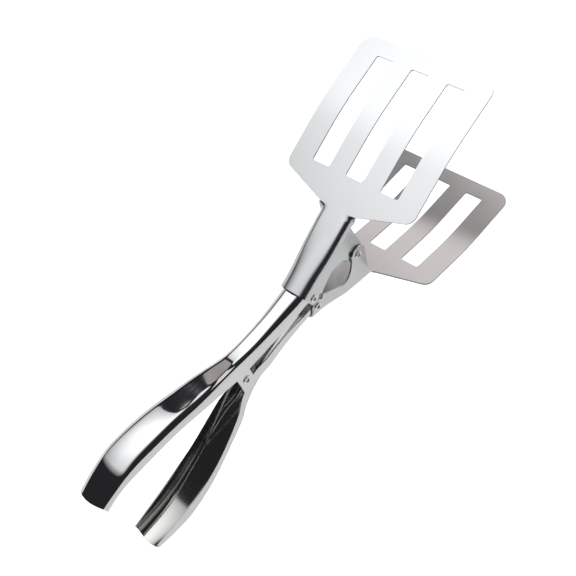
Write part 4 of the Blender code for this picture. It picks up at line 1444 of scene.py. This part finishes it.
def softbox_cloth(sizes, looks):
    """White cloth lit from behind: brightest in front of its lamps, and fading at its sides."""
    ramps = [
        ((1.0, 0.0, 0.0), sizes.box_rear, sizes.box_front, ALONG_SHARES),
        ((-sizes.box_slant, 1.0, 0.0), sizes.box_right, sizes.box_left, ACROSS_SHARES),
    ]
    return lit_surface("lit softbox cloth", looks.lamp, sizes.box_glow, ramps)


def mirror_piece(name, corners, material):
    """A flat piece that only the steel sees, through its corners in the linkage's side view."""
    data = bpy.data.meshes.new(name)
    data.from_pydata(corners, [], [range(len(corners))])
    data.materials.append(material)
    piece = new_object(name, data)
    piece.matrix_world = TO_ROW
    piece.visible_camera = piece.visible_diffuse = piece.visible_shadow = False


class TONGS_OT_stage(bpy.types.Operator):
    """Sets the floor, the dark surround, the beige card, the white cove, the softbox, lamps and camera"""

    bl_idname = "tongs.stage"
    bl_label = "Stage"

    def execute(self, context):
        tongs = context.scene.tongs
        sizes = tongs.stage
        data = bpy.data.meshes.new("studio_floor")
        half = sizes.floor / 2.0
        corners = ((-half, -half, 0.0), (half, -half, 0.0), (half, half, 0.0), (-half, half, 0.0))
        data.from_pydata(corners, [], [range(len(corners))])
        data.materials.append(floor_paint(tongs.looks, sizes.lift))
        new_object("studio_floor", data)
        studio_world(tongs.looks)

        corners = (
            (sizes.card_place, sizes.card_right, 0.0),
            (sizes.card_place, sizes.card_left, 0.0),
            (sizes.card_place, sizes.card_left, sizes.card_high),
            (sizes.card_place, sizes.card_right, sizes.card_low),
        )
        # The card glows though it is no lamp; the steel mirrors its painted light and painted shade
        mirror_piece("beige_card", corners, beige_card(sizes, tongs.looks))
        corners = (
            (-sizes.cove_half, sizes.cove_place, 0.0),
            (sizes.cove_half, sizes.cove_place, 0.0),
            (sizes.cove_half, sizes.cove_place, sizes.cove_height),
            (-sizes.cove_half, sizes.cove_place, sizes.cove_height),
        )
        cove_paint = lit_surface("painted white cove", tongs.looks.floor, 1.0, [])
        mirror_piece("white_cove", corners, cove_paint)
        rear, front = sizes.box_rear, sizes.box_front
        corners = (
            (rear, sizes.box_right + sizes.box_slant * rear, sizes.box_low),
            (rear, sizes.box_left + sizes.box_slant * rear, sizes.box_low),
            (front, sizes.box_left + sizes.box_slant * front, sizes.box_high),
            (front, sizes.box_right + sizes.box_slant * front, sizes.box_high),
        )
        mirror_piece("softbox", corners, softbox_cloth(sizes, tongs.looks))

        for name, energy, shadow in (("floor_fill", sizes.fill, False), ("floor_key", sizes.key, True)):
            lamp = bpy.data.lights.new(name, "SUN")
            lamp.energy = energy
            lamp.angle = LAMP_ANGLE
            lamp.use_shadow = shadow
            new_object(name, lamp).visible_glossy = False

        camera = bpy.data.cameras.new("photo_camera")
        camera.lens = sizes.lens
        camera.sensor_width = SENSOR_WIDTH
        camera.clip_start = CLIP_START
        view = new_object("photo_camera", camera)
        look = Vector(CAMERA_LOOK).normalized()
        right = look.cross(Vector(CAMERA_UP)).normalized()
        turn = Matrix((right, right.cross(look), -look)).transposed().to_4x4()
        view.matrix_world = TO_ROW @ Matrix.Translation(CAMERA_PLACE) @ turn
        context.scene.camera = view
        context.scene.view_settings.view_transform = "Standard"
        return {"FINISHED"}


class TONGS_PT_panel(bpy.types.Panel):
    """Lists the steps that build the tongs"""

    bl_idname = "TONGS_PT_panel"
    bl_label = "Turner Tongs"
    bl_space_type = "VIEW_3D"
    bl_region_type = "UI"
    bl_category = "Tongs"

    def draw(self, context):
        for operator in OPERATORS:
            self.layout.operator(operator.bl_idname)


OPERATORS = (TONGS_OT_handles, TONGS_OT_heads, TONGS_OT_rivets, TONGS_OT_spring, TONGS_OT_stage)
CLASSES = (
    TongsHandleSizes,
    TongsHeadSizes,
    TongsRivetSizes,
    TongsSpringSizes,
    TongsLooks,
    TongsStageSizes,
    TongsSettings,
    *OPERATORS,
    TONGS_PT_panel,
)


def register():
    """Registers the classes, and gives every scene the tongs' sizes and colours."""
    for cls in CLASSES:
        bpy.utils.register_class(cls)
    bpy.types.Scene.tongs = PointerProperty(
        type=TongsSettings, name="Tongs", description="Sizes and colours of the turner tongs"
    )


def unregister():
    """Takes back what register did, in the other order."""
    del bpy.types.Scene.tongs
    for cls in reversed(CLASSES):
        bpy.utils.unregister_class(cls)


def main():
    """Builds the tongs and their stage."""
    register()
    bpy.ops.tongs.handles()
    bpy.ops.tongs.heads()
    bpy.ops.tongs.rivets()
    bpy.ops.tongs.spring()
    bpy.ops.tongs.stage()
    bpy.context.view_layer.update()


if __name__ == "__main__":
    main()
